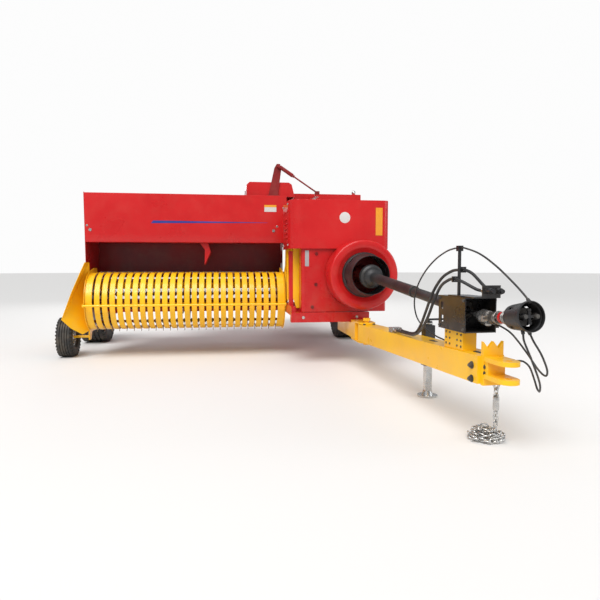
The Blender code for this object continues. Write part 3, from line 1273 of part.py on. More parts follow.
    front_along = (PTO_END - middle).normalized()
    front = body("pto_front_shaft", middle, tongue)
    shape = new_shape()
    rod(shape, middle + front_along * 0.040, PTO_END - front_along * 0.030, 0.0175, 16)
    rod(shape, middle + front_along * 0.036, middle + front_along * 0.060, 0.030, 16)
    across = front_along.cross(Vector((0, 0, 1))).normalized()
    for side in (-1, 1):
        rod(
            shape, middle + across * side * 0.028 + front_along * 0.050, middle + across * side * 0.028,
            0.0085, 10,
        )
        end_ear = across * side * 0.030
        rod(
            shape, PTO_END + end_ear - front_along * 0.040, PTO_END + end_ear + front_along * 0.020,
            0.010, 10,
        )
    rod(shape, middle - across * 0.030, middle + across * 0.030, 0.0065, 10)
    upright = across.cross(along).normalized()
    rod(shape, middle - upright * FRONT_CROSS_ARM, middle + upright * FRONT_CROSS_ARM, 0.0065, 10)
    rod(shape, PTO_END - front_along * 0.050, PTO_END - front_along * 0.028, 0.040, 18)
    rod(shape, middle + front_along * 0.100, middle + front_along * 0.135, 0.026, 16)
    solid("pto_front_shaft", shape, ZINC, front)

    shape = new_shape()
    outline = [
        (0.018, 0.180), (0.048, 0.185), (0.056, 0.200), (0.063, 0.295), (0.068, 0.303), (0.068, 0.315),
        (0.064, 0.317), (0.058, 0.298), (0.051, 0.207), (0.018, 0.200),
    ]
    turned(shape, outline, middle, front_along, 20)
    for route, end, before in (("guard_stay", -1, -2), ("guard_cable", -1, -2), ("pin_cable", 0, 1)):
        tip = Vector(CABLES[route][end])
        way = (tip - Vector(CABLES[route][before])).normalized()
        rod(shape, tip + way * GAP, tip + way * 0.021, 0.008, 10)
    solid("pto_front_guard", shape, PLASTIC, tongue)

    # jack
    jack_y = DRIVE_Y + half + 0.016 + JACK_W / 2
    shape = new_shape()
    w = JACK_W / 2
    box(shape, (JACK_X - w, jack_y - w, JACK_BOTTOM), (JACK_X + w, jack_y + w, JACK_TOP))
    box(shape, (JACK_X - 0.05, DRIVE_Y + half + GAP, 0.285), (JACK_X + 0.05, jack_y - w + 0.002, 0.385))
    rod(shape, (JACK_X, jack_y, JACK_TOP - 0.005), (JACK_X, jack_y, JACK_TOP + 0.025), 0.026, 18)
    rod(shape, (JACK_X, jack_y, JACK_TOP + 0.02), (JACK_X, jack_y, JACK_TOP + 0.040), 0.010, 12)
    rod(shape, (JACK_X, jack_y, JACK_TOP + 0.036), (JACK_X, jack_y + 0.12, JACK_TOP + 0.036), 0.007, 10)
    rod(
        shape, (JACK_X, jack_y + 0.113, JACK_TOP + 0.030), (JACK_X, jack_y + 0.113, JACK_TOP + 0.110),
        0.007, 10,
    )
    cut = new_shape()
    box(
        cut, (JACK_X - w + 0.006, jack_y - w + 0.006, 0.1),
        (JACK_X + w - 0.006, jack_y + w - 0.006, JACK_TOP - 0.010),
    )
    solid("jack_body", shape, BLACK, tongue, cut)

    leg = body("jack_leg", (JACK_X, jack_y, 0.0), tongue)
    shape = new_shape()
    inner = w - 0.012
    box(
        shape, (JACK_X - inner, jack_y - inner, 0.006),
        (JACK_X + inner, jack_y + inner, JACK_TOP - 0.020 - JACK_TRAVEL),
    )
    box(
        shape, (JACK_X - w + 0.0065, jack_y - w + 0.0065, JACK_BOTTOM + 0.01),
        (JACK_X + w - 0.0065, jack_y + w - 0.0065, JACK_BOTTOM + 0.07),
    )
    rod(shape, (JACK_X, jack_y, 0.0), (JACK_X, jack_y, 0.010), 0.065, 28)
    rod(shape, (JACK_X, jack_y, 0.006), (JACK_X, jack_y, 0.035), 0.040, 20, 0.030)
    solid("jack_leg", shape, ZINC, leg)

    # post with its two clips and top eye, and the rack with the couplers
    shape = new_shape()
    top_z = BOX_Z + BOX_H + GAP
    post_x, post_y = POST_X, DRIVE_Y - 0.050
    rod(shape, (post_x, post_y, top_z), (post_x, post_y, POST_TOP), POST_R, 14)
    box(shape, (3.66, post_y - 0.03, top_z), (3.80, post_y + 0.06, top_z + 0.006))
    clips = [place_at(smooth_route(hose["route"], HOSE_STEP), POST_X) for hose in HOSES]
    for clip in clips:
        low = (post_x - 0.005, min(clip[1] - 0.016, post_y), clip[2] - 0.015)
        box(shape, low, (post_x + 0.005, max(clip[1] + 0.016, post_y), clip[2] + 0.015))
    box(
        shape, (post_x - 0.012, post_y - 0.014, POST_TOP - 0.004),
        (post_x + 0.012, post_y + 0.014, POST_TOP + 0.024),
    )
    rack_y = (HOSES[0]["coupler"][1] - 0.025, HOSES[1]["coupler"][1] + 0.025)
    box(shape, (3.78, post_y - 0.02, top_z), (RACK_X, rack_y[1], top_z + 0.006))
    box(shape, (RACK_X - 0.006, rack_y[0], top_z), (RACK_X, rack_y[1], top_z + 0.062))
    for hose in HOSES:
        x, y, z = hose["coupler"]
        rod(shape, (x, y, z), (x + 0.012, y, z), HOSE_R + 0.002, 10)
        rod(shape, (x + 0.010, y, z), (RACK_X + 0.045, y, z), 0.0155, 10)
        rod(shape, (RACK_X + 0.043, y, z), (RACK_X + 0.060, y, z), 0.011, 10)
    cut = new_shape()
    for x, y, z in clips:
        rod(cut, (x - 0.1, y, z), (x + 0.1, y, z), HOSE_R + CLIP_GAP, 12)
    solid("hose_post", shape, BLACK, tongue, cut)

    # block on the tongue that the hoses leave
    shape = new_shape()
    x, y, z = HOSES[0]["exit"]
    wide = HOSES[1]["exit"][1] - y
    box(
        shape, (x - 0.085, y - 0.018, TONGUE_Z + TONGUE_H + lift(x) + GAP),
        (x - 0.022, y + wide + 0.018, z + 0.014),
    )
    for hose in HOSES:
        x, y, z = hose["exit"]
        rod(shape, (x - 0.025, y, z), (x, y, z), HOSE_R + 0.002, 10)
    solid("hose_block", shape, ZINC, tongue)

    # gland on the tongue, and box glands, that the cables leave
    shape = new_shape()
    x, y, z = CABLES["light_cable"][0]
    box(
        shape, (x + GAP, y - 0.012, TONGUE_Z + TONGUE_H + lift(x + 0.027) + GAP),
        (x + 0.026, y + 0.012, z + 0.009),
    )
    solid("cable_gland", shape, BLACK, tongue)
    for hose in HOSES:
        cord(hose["name"], hose["route"], HOSE_R, RUBBER, tongue, HOSE_STEP)
    for name, route in CABLES.items():
        cord(name, route, CABLE_R, SHEATH, tongue, CABLE_STEP)

    # safety chain, hanging to a coil on the ground
    shape = new_shape()
    chain_x, chain_y = TONGUE_END - 0.02, DRIVE_Y + 0.045
    z_top = TONGUE_Z + lift(chain_x) - GAP
    points = [(chain_x, chain_y, z_top), (chain_x, chain_y, 0.10), (chain_x - 0.02, chain_y, 0.050)]
    for step in range(1, 26):
        turn = math.radians(30.0 * step)
        radius = 0.020 + 0.0028 * step
        x = chain_x - 0.05 + radius * math.cos(turn)
        y = chain_y - 0.02 + radius * math.sin(turn)
        points.append((x, y, max(0.016, 0.048 - 0.004 * step)))
    bent_bar(shape, points, 0.011, 8)
    solid("safety_chain", shape, ZINC, tongue)


def shaft_line(x):
    """Height of the drive line between the rear and middle joints."""
    return FLYWHEEL_Z + (MID_JOINT_Z - FLYWHEEL_Z) * (x - JOINT_X) / (MID_JOINT_X - JOINT_X)


make_chamber()
make_frame()
make_axle()
left = body("main_wheel_left", (0.0, WHEEL_L_Y, TYRE_L_R), ROOT)
make_wheel(
    "main_wheel_left", (0.0, WHEEL_L_Y, TYRE_L_R), TYRE_L_R, TYRE_L_W, 0.195, left, SPINDLE_R, YELLOW,
)
right = body("main_wheel_right", (0.0, WHEEL_R_Y, TYRE_R_R), ROOT)
make_wheel(
    "main_wheel_right", (0.0, WHEEL_R_Y, TYRE_R_R), TYRE_R_R, TYRE_R_W, 0.195, right, SPINDLE_R, YELLOW,
)
make_feeder()
make_upper_works()
make_knotters()
make_needles()
make_plunger()
make_tension()
make_chute()
make_twine_box()
make_pickup()
make_shield()
make_flywheel()
make_tongue()

# the origin is the centre of the whole baler's base
bpy.context.view_layer.update()
corners = [
    made.matrix_world @ vertex.co
    for made in bpy.context.scene.objects if made.type == "MESH"
    for vertex in made.data.vertices
]
ROOT.location.x = -(min(c.x for c in corners) + max(c.x for c in corners)) / 2
ROOT.location.y = -(min(c.y for c in corners) + max(c.y for c in corners)) / 2
bpy.context.view_layer.update()
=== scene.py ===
"""Square baler: finishes, tyres, tines, chain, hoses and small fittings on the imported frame."""

import json
import math

import bmesh
import bpy
from mathutils import Matrix, Vector


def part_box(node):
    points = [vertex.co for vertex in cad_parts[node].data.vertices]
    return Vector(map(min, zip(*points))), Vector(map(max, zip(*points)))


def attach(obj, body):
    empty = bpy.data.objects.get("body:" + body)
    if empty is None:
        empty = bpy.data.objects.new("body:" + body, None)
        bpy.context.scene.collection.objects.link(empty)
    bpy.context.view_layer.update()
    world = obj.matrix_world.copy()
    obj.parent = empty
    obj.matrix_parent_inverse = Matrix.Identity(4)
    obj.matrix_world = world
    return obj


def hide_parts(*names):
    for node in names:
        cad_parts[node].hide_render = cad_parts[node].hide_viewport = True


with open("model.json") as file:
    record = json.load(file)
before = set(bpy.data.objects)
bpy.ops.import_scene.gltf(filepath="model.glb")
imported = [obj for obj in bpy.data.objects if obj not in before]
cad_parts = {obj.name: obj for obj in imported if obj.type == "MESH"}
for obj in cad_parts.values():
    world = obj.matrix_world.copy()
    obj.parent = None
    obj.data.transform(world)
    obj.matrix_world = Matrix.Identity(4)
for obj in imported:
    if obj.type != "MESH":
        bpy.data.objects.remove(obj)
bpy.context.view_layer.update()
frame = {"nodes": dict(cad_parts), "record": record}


# ---------------------------------------------------------------- places
X, Y, Z = Vector((1, 0, 0)), Vector((0, 1, 0)), Vector((0, 0, 1))


def middle_of(node):
    low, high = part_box(node)
    return (low + high) / 2


AXLE_X = middle_of("main_wheel_left_tyre").x
CHAMBER_Y = middle_of("bale_chamber").y
TONGUE_YAW = math.radians(3.5)
TONGUE_PIVOT = Vector((2.100, 0.275, 0.0))


def at(x, y, z):
    """A place given from the axle, the chamber's centre line and the ground."""
    return Vector((x + AXLE_X, y + CHAMBER_Y, z))


# ---------------------------------------------------------------- camera, floor and light
def make_camera():
    data = bpy.data.cameras.new("Camera")
    data.sensor_width = 36.0
    data.lens = 32.4
    data.clip_end = 200.0
    camera = bpy.data.objects.new("Camera", data)
    bpy.context.scene.collection.objects.link(camera)
    yaw, pitch = math.radians(8.0), math.radians(-3.7)
    level = math.cos(pitch)
    look = Vector((-math.cos(yaw) * level, math.sin(yaw) * level, math.sin(pitch)))
    camera.location = at(6.35, -0.87, 0.86)
    camera.rotation_euler = look.to_track_quat("-Z", "Y").to_euler()
    bpy.context.scene.camera = camera


def area_light(name, place, aim, size, power, colour=(1.0, 1.0, 1.0)):
    data = bpy.data.lights.new(name, "AREA")
    data.shape = "RECTANGLE"
    data.size, data.size_y = size
    data.energy = power
    data.color = colour
    lamp = bpy.data.objects.new(name, data)
    bpy.context.scene.collection.objects.link(lamp)
    lamp.location = Vector(place)
    lamp.rotation_euler = (Vector(aim) - Vector(place)).to_track_quat("-Z", "Y").to_euler()


def make_studio():
    shape = bmesh.new()
    bmesh.ops.create_circle(shape, cap_ends=True, segments=96, radius=60.0)
    data = bpy.data.meshes.new("Floor")
    shape.to_mesh(data)
    shape.free()
    floor = bpy.data.objects.new("Floor", data)
    bpy.context.scene.collection.objects.link(floor)
    floor.location.z = -0.0015
    made = bpy.data.materials.new("Pale floor")
    made.use_nodes = True
    shader = made.node_tree.nodes["Principled BSDF"]
    shader.inputs["Base Color"].default_value = (0.76, 0.75, 0.735, 1.0)
    shader.inputs["Roughness"].default_value = 0.75
    data.materials.append(made)

    world = bpy.data.worlds.new("Studio")
    world.use_nodes = True
    tree = world.node_tree
    soft = tree.nodes["Background"]
    soft.inputs["Color"].default_value = (0.96, 0.975, 1.0, 1.0)
    soft.inputs["Strength"].default_value = 0.42
    white = tree.nodes.new("ShaderNodeBackground")
    white.inputs["Color"].default_value = (0.98, 0.98, 0.98, 1.0)
    white.inputs["Strength"].default_value = 1.0
    seen = tree.nodes.new("ShaderNodeLightPath")
    blend = tree.nodes.new("ShaderNodeMixShader")
    tree.links.new(seen.outputs["Is Camera Ray"], blend.inputs[0])
    tree.links.new(soft.outputs[0], blend.inputs[1])
    tree.links.new(white.outputs[0], blend.inputs[2])
    tree.links.new(blend.outputs[0], tree.nodes["World Output"].inputs["Surface"])
    bpy.context.scene.world = world
    centre = at(1.5, -0.4, 0.8)
    area_light("Key", at(6.5, -4.5, 5.5), centre, (4.5, 3.0), 150.0, (1.0, 0.98, 0.95))
    area_light("Top", at(1.8, -0.5, 6.0), centre, (7.0, 5.0), 40.0)
    area_light("Fill", at(5.0, 5.5, 3.0), centre, (4.0, 3.0), 90.0, (0.95, 0.97, 1.0))
    area_light("Rear", at(-6.0, -1.0, 4.0), centre, (5.0, 3.0), 120.0)
    even = bpy.data.lights.new("Even", "SUN")
    even.energy = 2.3
    even.angle = math.radians(40.0)
    lamp = bpy.data.objects.new("Even", even)
    bpy.context.scene.collection.objects.link(lamp)
    lamp.rotation_euler = Vector((-0.65, 0.30, -1.0)).to_track_quat("-Z", "Y").to_euler()
    bpy.context.scene.view_settings.view_transform = "Standard"


# ---------------------------------------------------------------- shader groups
def new_group(name, inputs, outputs):
    group = bpy.data.node_groups.new(name, "ShaderNodeTree")
    for label, kind, value in inputs:
        socket = group.interface.new_socket(name=label, in_out="INPUT", socket_type=kind)
        if value is not None:
            socket.default_value = value
    for label, kind in outputs:
        group.interface.new_socket(name=label, in_out="OUTPUT", socket_type=kind)
    start = group.nodes.new("NodeGroupInput")
    end = group.nodes.new("NodeGroupOutput")
    return group, start, end


def maths(tree, operation, first, second, clamp=False):
    node = tree.nodes.new("ShaderNodeMath")
    node.operation = operation
    node.use_clamp = clamp
    for socket, value in zip(node.inputs, (first, second)):
        if isinstance(value, (int, float)):
            socket.default_value = value
        else:
            tree.links.new(value, socket)
    return node.outputs[0]


def noise(tree, vector, scale, detail=3.0, roughness=0.55):
    node = tree.nodes.new("ShaderNodeTexNoise")
    node.inputs["Detail"].default_value = detail
    node.inputs["Roughness"].default_value = roughness
    tree.links.new(vector, node.inputs["Vector"])
    if isinstance(scale, (int, float)):
        node.inputs["Scale"].default_value = scale
    else:
        tree.links.new(scale, node.inputs["Scale"])
    return node.outputs["Fac"]


def spread(tree, value, low, high):
    """Stretches a value so that low becomes 0 and high becomes 1."""
    node = tree.nodes.new("ShaderNodeMapRange")
    node.interpolation_type = "SMOOTHSTEP"
    tree.links.new(value, node.inputs["Value"])
    node.inputs["From Min"].default_value = low
    node.inputs["From Max"].default_value = high
    return node.outputs["Result"]


def make_weathering():
    """Cloudy tone, field dust that gathers low down, fine scuffs and a slightly uneven coat."""
    group, start, end = new_group(
        "Weathering",
        [
            ("Vector", "NodeSocketVector", None), ("Cloud Scale", "NodeSocketFloat", 2.5),
            ("Dust", "NodeSocketFloat", 0.4), ("Scuffs", "NodeSocketFloat", 0.3),
            ("Coat Scale", "NodeSocketFloat", 220.0),
        ],
        [
            ("Cloud", "NodeSocketFloat"), ("Dust Mask", "NodeSocketFloat"),
            ("Scuff Mask", "NodeSocketFloat"), ("Height", "NodeSocketFloat"),
        ],
    )
    vector = start.outputs["Vector"]
    cloud = spread(group, noise(group, vector, start.outputs["Cloud Scale"], 4.0), 0.3, 0.7)
    group.links.new(cloud, end.inputs["Cloud"])
    split = group.nodes.new("ShaderNodeSeparateXYZ")
    group.links.new(vector, split.inputs[0])
    low_down = group.nodes.new("ShaderNodeMapRange")
    group.links.new(split.outputs["Z"], low_down.inputs["Value"])
    low_down.inputs["From Min"].default_value = 1.1
    low_down.inputs["From Max"].default_value = 0.05
    low_down.inputs["To Min"].default_value = 0.25
    patches = spread(group, noise(group, vector, 9.0, 6.0, 0.62), 0.42, 0.72)
    dust = maths(group, "MULTIPLY", low_down.outputs["Result"], patches)
    dust = maths(group, "MULTIPLY", dust, start.outputs["Dust"], clamp=True)
    group.links.new(dust, end.inputs["Dust Mask"])
    stretched = group.nodes.new("ShaderNodeMapping")
    stretched.inputs["Scale"].default_value = (1.0, 1.0, 4.5)
    stretched.inputs["Rotation"].default_value = (0.5, 0.35, 0.2)
    group.links.new(vector, stretched.inputs["Vector"])
    scuffs = spread(group, noise(group, stretched.outputs[0], 34.0, 5.0, 0.7), 0.60, 0.74)
    scuffs = maths(group, "MULTIPLY", scuffs, start.outputs["Scuffs"], clamp=True)
    group.links.new(scuffs, end.inputs["Scuff Mask"])
    peel = noise(group, vector, start.outputs["Coat Scale"], 1.0)
    waves = maths(group, "MULTIPLY", noise(group, vector, 6.0, 1.0), 2.0)
    height = maths(group, "ADD", maths(group, "MULTIPLY", peel, 0.35), waves)
    group.links.new(height, end.inputs["Height"])
    return group


def make_grain():
    """Fine grain with a few longer scratches, for moulded plastic, rubber and bare metal."""
    group, start, end = new_group(
        "Grain",
        [
            ("Vector", "NodeSocketVector", None), ("Scale", "NodeSocketFloat", 300.0),
            ("Scratch Scale", "NodeSocketFloat", 40.0),
        ],
        [("Grain", "NodeSocketFloat"), ("Scratch", "NodeSocketFloat"), ("Height", "NodeSocketFloat")],
    )
    vector = start.outputs["Vector"]
    grain = noise(group, vector, start.outputs["Scale"], 3.0, 0.6)
    stretched = group.nodes.new("ShaderNodeMapping")
    stretched.inputs["Scale"].default_value = (0.4, 3.0, 3.0)
    group.links.new(vector, stretched.inputs["Vector"])
    lines = noise(group, stretched.outputs[0], start.outputs["Scratch Scale"], 6.0, 0.7)
    scratch = spread(group, lines, 0.5, 0.75)
    group.links.new(grain, end.inputs["Grain"])
    group.links.new(scratch, end.inputs["Scratch"])
    total = maths(group, "ADD", grain, maths(group, "MULTIPLY", scratch, 0.6))
    group.links.new(total, end.inputs["Height"])
    return group


WEATHERING = make_weathering()
GRAIN = make_grain()


def start_material(name):
    made = bpy.data.materials.new(name)
    made.use_nodes = True
    tree = made.node_tree
    place = tree.nodes.new("ShaderNodeTexCoord")
    return made, tree, tree.nodes["Principled BSDF"], place.outputs["Object"]


def use_group(tree, group, vector, **values):
    node = tree.nodes.new("ShaderNodeGroup")
    node.node_tree = group
    tree.links.new(vector, node.inputs["Vector"])
    for label, value in values.items():
        node.inputs[label.replace("_", " ")].default_value = value
    return node.outputs


def blend_colour(tree, factor, first, second):
    node = tree.nodes.new("ShaderNodeMix")
    node.data_type = "RGBA"
    for index, value in ((0, factor), (6, first), (7, second)):
        if isinstance(value, tuple):
            node.inputs[index].default_value = (*value, 1.0)
        else:
            tree.links.new(value, node.inputs[index])
    return node.outputs[2]


def roughness_from(tree, shader, value, low, high):
    node = tree.nodes.new("ShaderNodeMapRange")
    tree.links.new(value, node.inputs["Value"])
    node.inputs["To Min"].default_value = low
    node.inputs["To Max"].default_value = high
    tree.links.new(node.outputs["Result"], shader.inputs["Roughness"])


def bump_from(tree, shader, height, distance, strength=0.5):
    node = tree.nodes.new("ShaderNodeBump")
    node.inputs["Strength"].default_value = strength
    node.inputs["Distance"].default_value = distance
    tree.links.new(height, node.inputs["Height"])
    tree.links.new(node.outputs["Normal"], shader.inputs["Normal"])


DUST = (0.42, 0.33, 0.22)


def paint(name, colour, deep, under, rough=(0.26, 0.42), dust=0.35, scuffs=0.18, coat=0.18):
    """Sprayed machine paint: a cloudy gloss coat, dust low down, and scuffs to the colour beneath."""
    made, tree, shader, place = start_material(name)
    worn = use_group(tree, WEATHERING, place, Dust=dust, Scuffs=scuffs)
    tone = blend_colour(tree, worn["Cloud"], deep, colour)
    tone = blend_colour(tree, worn["Scuff Mask"], tone, under)
    tone = blend_colour(tree, worn["Dust Mask"], tone, DUST)
    tree.links.new(tone, shader.inputs["Base Color"])
    rougher = maths(tree, "ADD", worn["Cloud"], worn["Dust Mask"], clamp=True)
    roughness_from(tree, shader, rougher, *rough)
    shader.inputs["Coat Weight"].default_value = coat
    shader.inputs["Specular IOR Level"].default_value = 0.30
    shader.inputs["Coat Roughness"].default_value = 0.12
    bump_from(tree, shader, worn["Height"], 0.0012, 0.35)
    return made


def metal(name, colour, dark, rough=(0.28, 0.5), metallic=0.9, scale=260.0, scratch=36.0):
    """Bare or plated metal with cloudy tarnish and fine scratches."""
    made, tree, shader, place = start_material(name)
    grain = use_group(tree, GRAIN, place, Scale=scale, Scratch_Scale=scratch)
    worn = use_group(tree, WEATHERING, place, Cloud_Scale=14.0, Dust=0.25, Scuffs=0.2)
    tone = blend_colour(tree, worn["Cloud"], dark, colour)
    tone = blend_colour(tree, worn["Dust Mask"], tone, DUST)
    tree.links.new(tone, shader.inputs["Base Color"])
    shader.inputs["Metallic"].default_value = metallic
    roughness_from(tree, shader, grain["Scratch"], *rough)
    bump_from(tree, shader, grain["Height"], 0.0004, 0.35)
    return made


def moulded(name, colour, pale, rough=(0.45, 0.68), dust=0.3, depth=0.0006, scale=420.0):
    """Plastic or rubber with a fine moulded grain, greyer where it has been rubbed."""
    made, tree, shader, place = start_material(name)
    grain = use_group(tree, GRAIN, place, Scale=scale, Scratch_Scale=22.0)
    worn = use_group(tree, WEATHERING, place, Cloud_Scale=7.0, Dust=dust, Scuffs=0.45)
    tone = blend_colour(tree, worn["Cloud"], colour, pale)
    tone = blend_colour(tree, worn["Scuff Mask"], tone, pale)
    tone = blend_colour(tree, worn["Dust Mask"], tone, DUST)
    tree.links.new(tone, shader.inputs["Base Color"])
    roughness_from(tree, shader, grain["Grain"], *rough)
    bump_from(tree, shader, grain["Height"], depth, 0.5)
    return made


RED = paint(
    "Bright red paint", (0.56, 0.008, 0.009), (0.50, 0.0065, 0.008), (0.36, 0.010, 0.010),
    dust=0.10, scuffs=0.05, coat=0.30,
)
DARK_RED = paint(
    "Worn dark red paint", (0.24, 0.010, 0.011), (0.15, 0.008, 0.009), (0.10, 0.03, 0.02),
    rough=(0.36, 0.55), dust=0.20, scuffs=0.20, coat=0.15,
)
# The darker red base is painted shade for the inside of the feeder mouth; the grey scuffs stand for
# real polish from the crop.
SHADED_THROAT_RED = paint(
    "Throat red with painted shade, polished", (0.30, 0.010, 0.012), (0.20, 0.007, 0.009), (0.34, 0.30, 0.28),
    rough=(0.30, 0.5), dust=0.12, scuffs=0.12, coat=0.2,
)
YELLOW = paint(
    "Golden yellow paint", (0.97, 0.54, 0.008), (0.92, 0.47, 0.006), (0.60, 0.36, 0.08),
    dust=0.12, scuffs=0.06, coat=0.30,
)
BLACK = paint(
    "Satin black paint", (0.016, 0.016, 0.018), (0.010, 0.010, 0.011), (0.07, 0.065, 0.06),
    rough=(0.22, 0.38), dust=0.08, scuffs=0.12, coat=0.4,
)
PLASTIC = moulded(
    "Black guard plastic", (0.010, 0.010, 0.011), (0.022, 0.022, 0.024), (0.36, 0.55), 0.06
)
HOSE = moulded("Black hose rubber", (0.012, 0.012, 0.013), (0.026, 0.026, 0.027), (0.42, 0.6), 0.2)
SHEATH = moulded(
    "Black cable sheath", (0.014, 0.014, 0.015), (0.028, 0.028, 0.030), (0.32, 0.5), 0.15
)
RUBBER = moulded(
    "Tyre rubber", (0.016, 0.016, 0.017), (0.030, 0.029, 0.028), (0.62, 0.82), 0.18,
    depth=0.0012, scale=260.0,
)
STEEL = metal("Worn bright steel", (0.52, 0.50, 0.48), (0.24, 0.22, 0.20))
ZINC = metal("Zinc plate", (0.66, 0.66, 0.65), (0.46, 0.46, 0.46), (0.26, 0.42))
CAST = metal("Cast iron", (0.13, 0.125, 0.12), (0.07, 0.065, 0.06), (0.5, 0.7), 0.6, 120.0)
TINE_STEEL = metal("Spring steel tines", (0.30, 0.27, 0.24), (0.10, 0.085, 0.075), (0.3, 0.5), 0.85)
FOR_SLOT = {
    "red_paint": RED, "worn_red_paint": DARK_RED, "yellow_paint": YELLOW, "black_paint": BLACK,
    "black_plastic": PLASTIC, "tyre_rubber": RUBBER, "bare_steel": STEEL, "zinc_plated": ZINC,
    "cast_iron": CAST, "hose_rubber": HOSE, "cable_sheath": SHEATH,
}
CORD_NODES = frame["record"]["physics"].get("cord_nodes", [])
SLOT_OF = {part["node"]: part["material_slot"] for part in frame["record"]["subparts"]}
# The feeder housing's back and floor take the throat red, whose darker base is painted shade inside the
# mouth.
PAINT_OF = {
    "feeder_housing_back": SHADED_THROAT_RED, "feeder_floor": SHADED_THROAT_RED, "feeder_end_sheet": RED,
    "pto_front_shaft": CAST,
}


def dress_nodes():
    """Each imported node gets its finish, its flat faces joined, and slightly rounded corners."""
    for name, piece in frame["nodes"].items():
        piece.data.materials.clear()
        piece.data.materials.append(PAINT_OF.get(name, FOR_SLOT[SLOT_OF[name]]))
        piece.data.shade_smooth()
        join = piece.modifiers.new("Join corners", "WELD")
        join.merge_threshold = 0.00002
        flat = piece.modifiers.new("Flat faces", "DECIMATE")
        flat.decimate_type = "DISSOLVE"
        flat.angle_limit = math.radians(0.5)
        if name not in CORD_NODES:
            edge = piece.modifiers.new("Rounded corners", "BEVEL")
            edge.width = 0.0016
            edge.segments = 2
            edge.limit_method = "ANGLE"
            edge.angle_limit = math.radians(38.0)
        even = piece.modifiers.new("Even shading", "WEIGHTED_NORMAL")
        even.weight = 50


# ---------------------------------------------------------------- shape helpers
MACHINE = Matrix.Translation((AXLE_X, CHAMBER_Y, 0.0))
TONGUE = (
    MACHINE @ Matrix.Translation(TONGUE_PIVOT) @ Matrix.Rotation(TONGUE_YAW, 4, "Z")
    @ Matrix.Translation(-TONGUE_PIVOT)
)


def facing(place, way):
    """Stands a shape's own Z along the given way, at the given place."""
    turn = Vector(way).to_track_quat("Z", "Y").to_matrix().to_4x4()
    return Matrix.Translation(Vector(place)) @ turn


def put_on(piece, body, made, slot, stands_for=()):
    bpy.context.scene.collection.objects.link(piece)
    piece.data.materials.append(made)
    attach(piece, body)
    if stands_for:
        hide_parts(*stands_for)
    return piece


def finish(shape, name, body, made, slot, place=MACHINE, corner=0.0, wall=0.0, stands_for=()):
    bmesh.ops.remove_doubles(shape, verts=shape.verts, dist=0.00001)
    bmesh.ops.transform(shape, matrix=place, verts=shape.verts)
    bmesh.ops.recalc_face_normals(shape, faces=shape.faces)
    data = bpy.data.meshes.new(name)
    shape.to_mesh(data)
    shape.free()
    data.shade_smooth()
    data.set_sharp_from_angle(angle=math.radians(36.0))
    piece = bpy.data.objects.new(name, data)
    if wall:
        thick = piece.modifiers.new("Sheet thickness", "SOLIDIFY")
        thick.thickness = wall
        thick.offset = -1.0
    if corner:
        edge = piece.modifiers.new("Rounded corners", "BEVEL")
        edge.width = corner
        edge.segments = 2
        edge.limit_method = "ANGLE"
        edge.angle_limit = math.radians(36.0)
        edge.harden_normals = True
    return put_on(piece, body, made, slot, stands_for)


def wires(name, runs, radius, body, made, slot, place=MACHINE, closed=False, fine=1, stands_for=()):
    """Round wire, tube or rope along each run of points."""
    data = bpy.data.curves.new(name, "CURVE")
    data.dimensions = "3D"
    data.bevel_depth = radius
    data.bevel_resolution = fine
    data.use_fill_caps = not closed
    data.resolution_u = 1
    for run in runs:
        line = data.splines.new("POLY")
        line.points.add(len(run) - 1)
        for point, spot in zip(line.points, run):
            point.co = (*(place @ Vector(spot)), 1.0)
        line.use_cyclic_u = closed
        line.use_smooth = True
    return put_on(bpy.data.objects.new(name, data), body, made, slot, stands_for)


def add_round(shape, place, way, radius, length, segments=16, top=None):
    """A round bar or taper that starts at a place and runs the given way."""
    way = Vector(way).normalized()
    bmesh.ops.create_cone(
        shape, cap_ends=True, segments=segments, radius1=radius,
        radius2=radius if top is None else top, depth=length,
        matrix=facing(Vector(place) + way * length / 2, way),
    )


def add_block(shape, low, high, turn=None):
    low, high = Vector(low), Vector(high)
    size = Matrix.Diagonal((*(high - low), 1.0))
    place = Matrix.Translation((low + high) / 2)
    bmesh.ops.create_cube(shape, size=1.0, matrix=place @ (turn or Matrix.Identity(4)) @ size)


def add_bolt(shape, place, way, size, stud=False):
    """A washer and a six-sided head, with the thread end standing out where there is a nut."""
    place, way = Vector(place), Vector(way).normalized()
    add_round(shape, place, way, size * 0.72, size * 0.12, 20)
    add_round(shape, place + way * size * 0.12, way, size * 0.52, size * 0.42, 6, size * 0.50)
    if stud:
        add_round(shape, place + way * size * 0.5, way, size * 0.28, size * 0.30, 12, size * 0.24)


def add_turned(shape, outline, centre, way, steps, closed=False):
    """Spins an outline of (radius, along) points about an axis."""
    before = set(shape.verts)
    points = [shape.verts.new((radius, 0.0, along)) for radius, along in outline]
    edges = [shape.edges.new(pair) for pair in zip(points, points[1:])]
    if closed:
        edges.append(shape.edges.new((points[-1], points[0])))
    bmesh.ops.spin(
        shape, geom=points + edges, cent=(0, 0, 0), axis=(0, 0, 1), angle=math.tau,
        steps=steps, use_merge=True,
    )
    made = [vert for vert in shape.verts if vert not in before]
    bmesh.ops.transform(shape, matrix=facing(centre, way), verts=made)


def add_sheet(shape, corners, way, thickness):
    """A flat sheet with the given corners, thickened the given way."""
    face = shape.faces.new([shape.verts.new(corner) for corner in corners])
    grown = bmesh.ops.extrude_face_region(shape, geom=[face])["geom"]
    moved = [item for item in grown if isinstance(item, bmesh.types.BMVert)]
    bmesh.ops.translate(shape, vec=Vector(way).normalized() * thickness, verts=moved)


def add_plate(shape, centre, across, up, width, height, corner, thickness):
    """A plate with rounded corners that faces across x up."""
    centre, across, up = Vector(centre), Vector(across), Vector(up)
    points = []
    for quarter, (side, end) in enumerate(((1, 1), (-1, 1), (-1, -1), (1, -1))):
        for step in range(5):
            angle = math.radians(90.0 * quarter + 22.5 * step)
            points.append(
                centre + across * (side * (width / 2 - corner) + corner * math.cos(angle))
                + up * (end * (height / 2 - corner) + corner * math.sin(angle))
            )
    add_sheet(shape, points, across.cross(up), thickness)


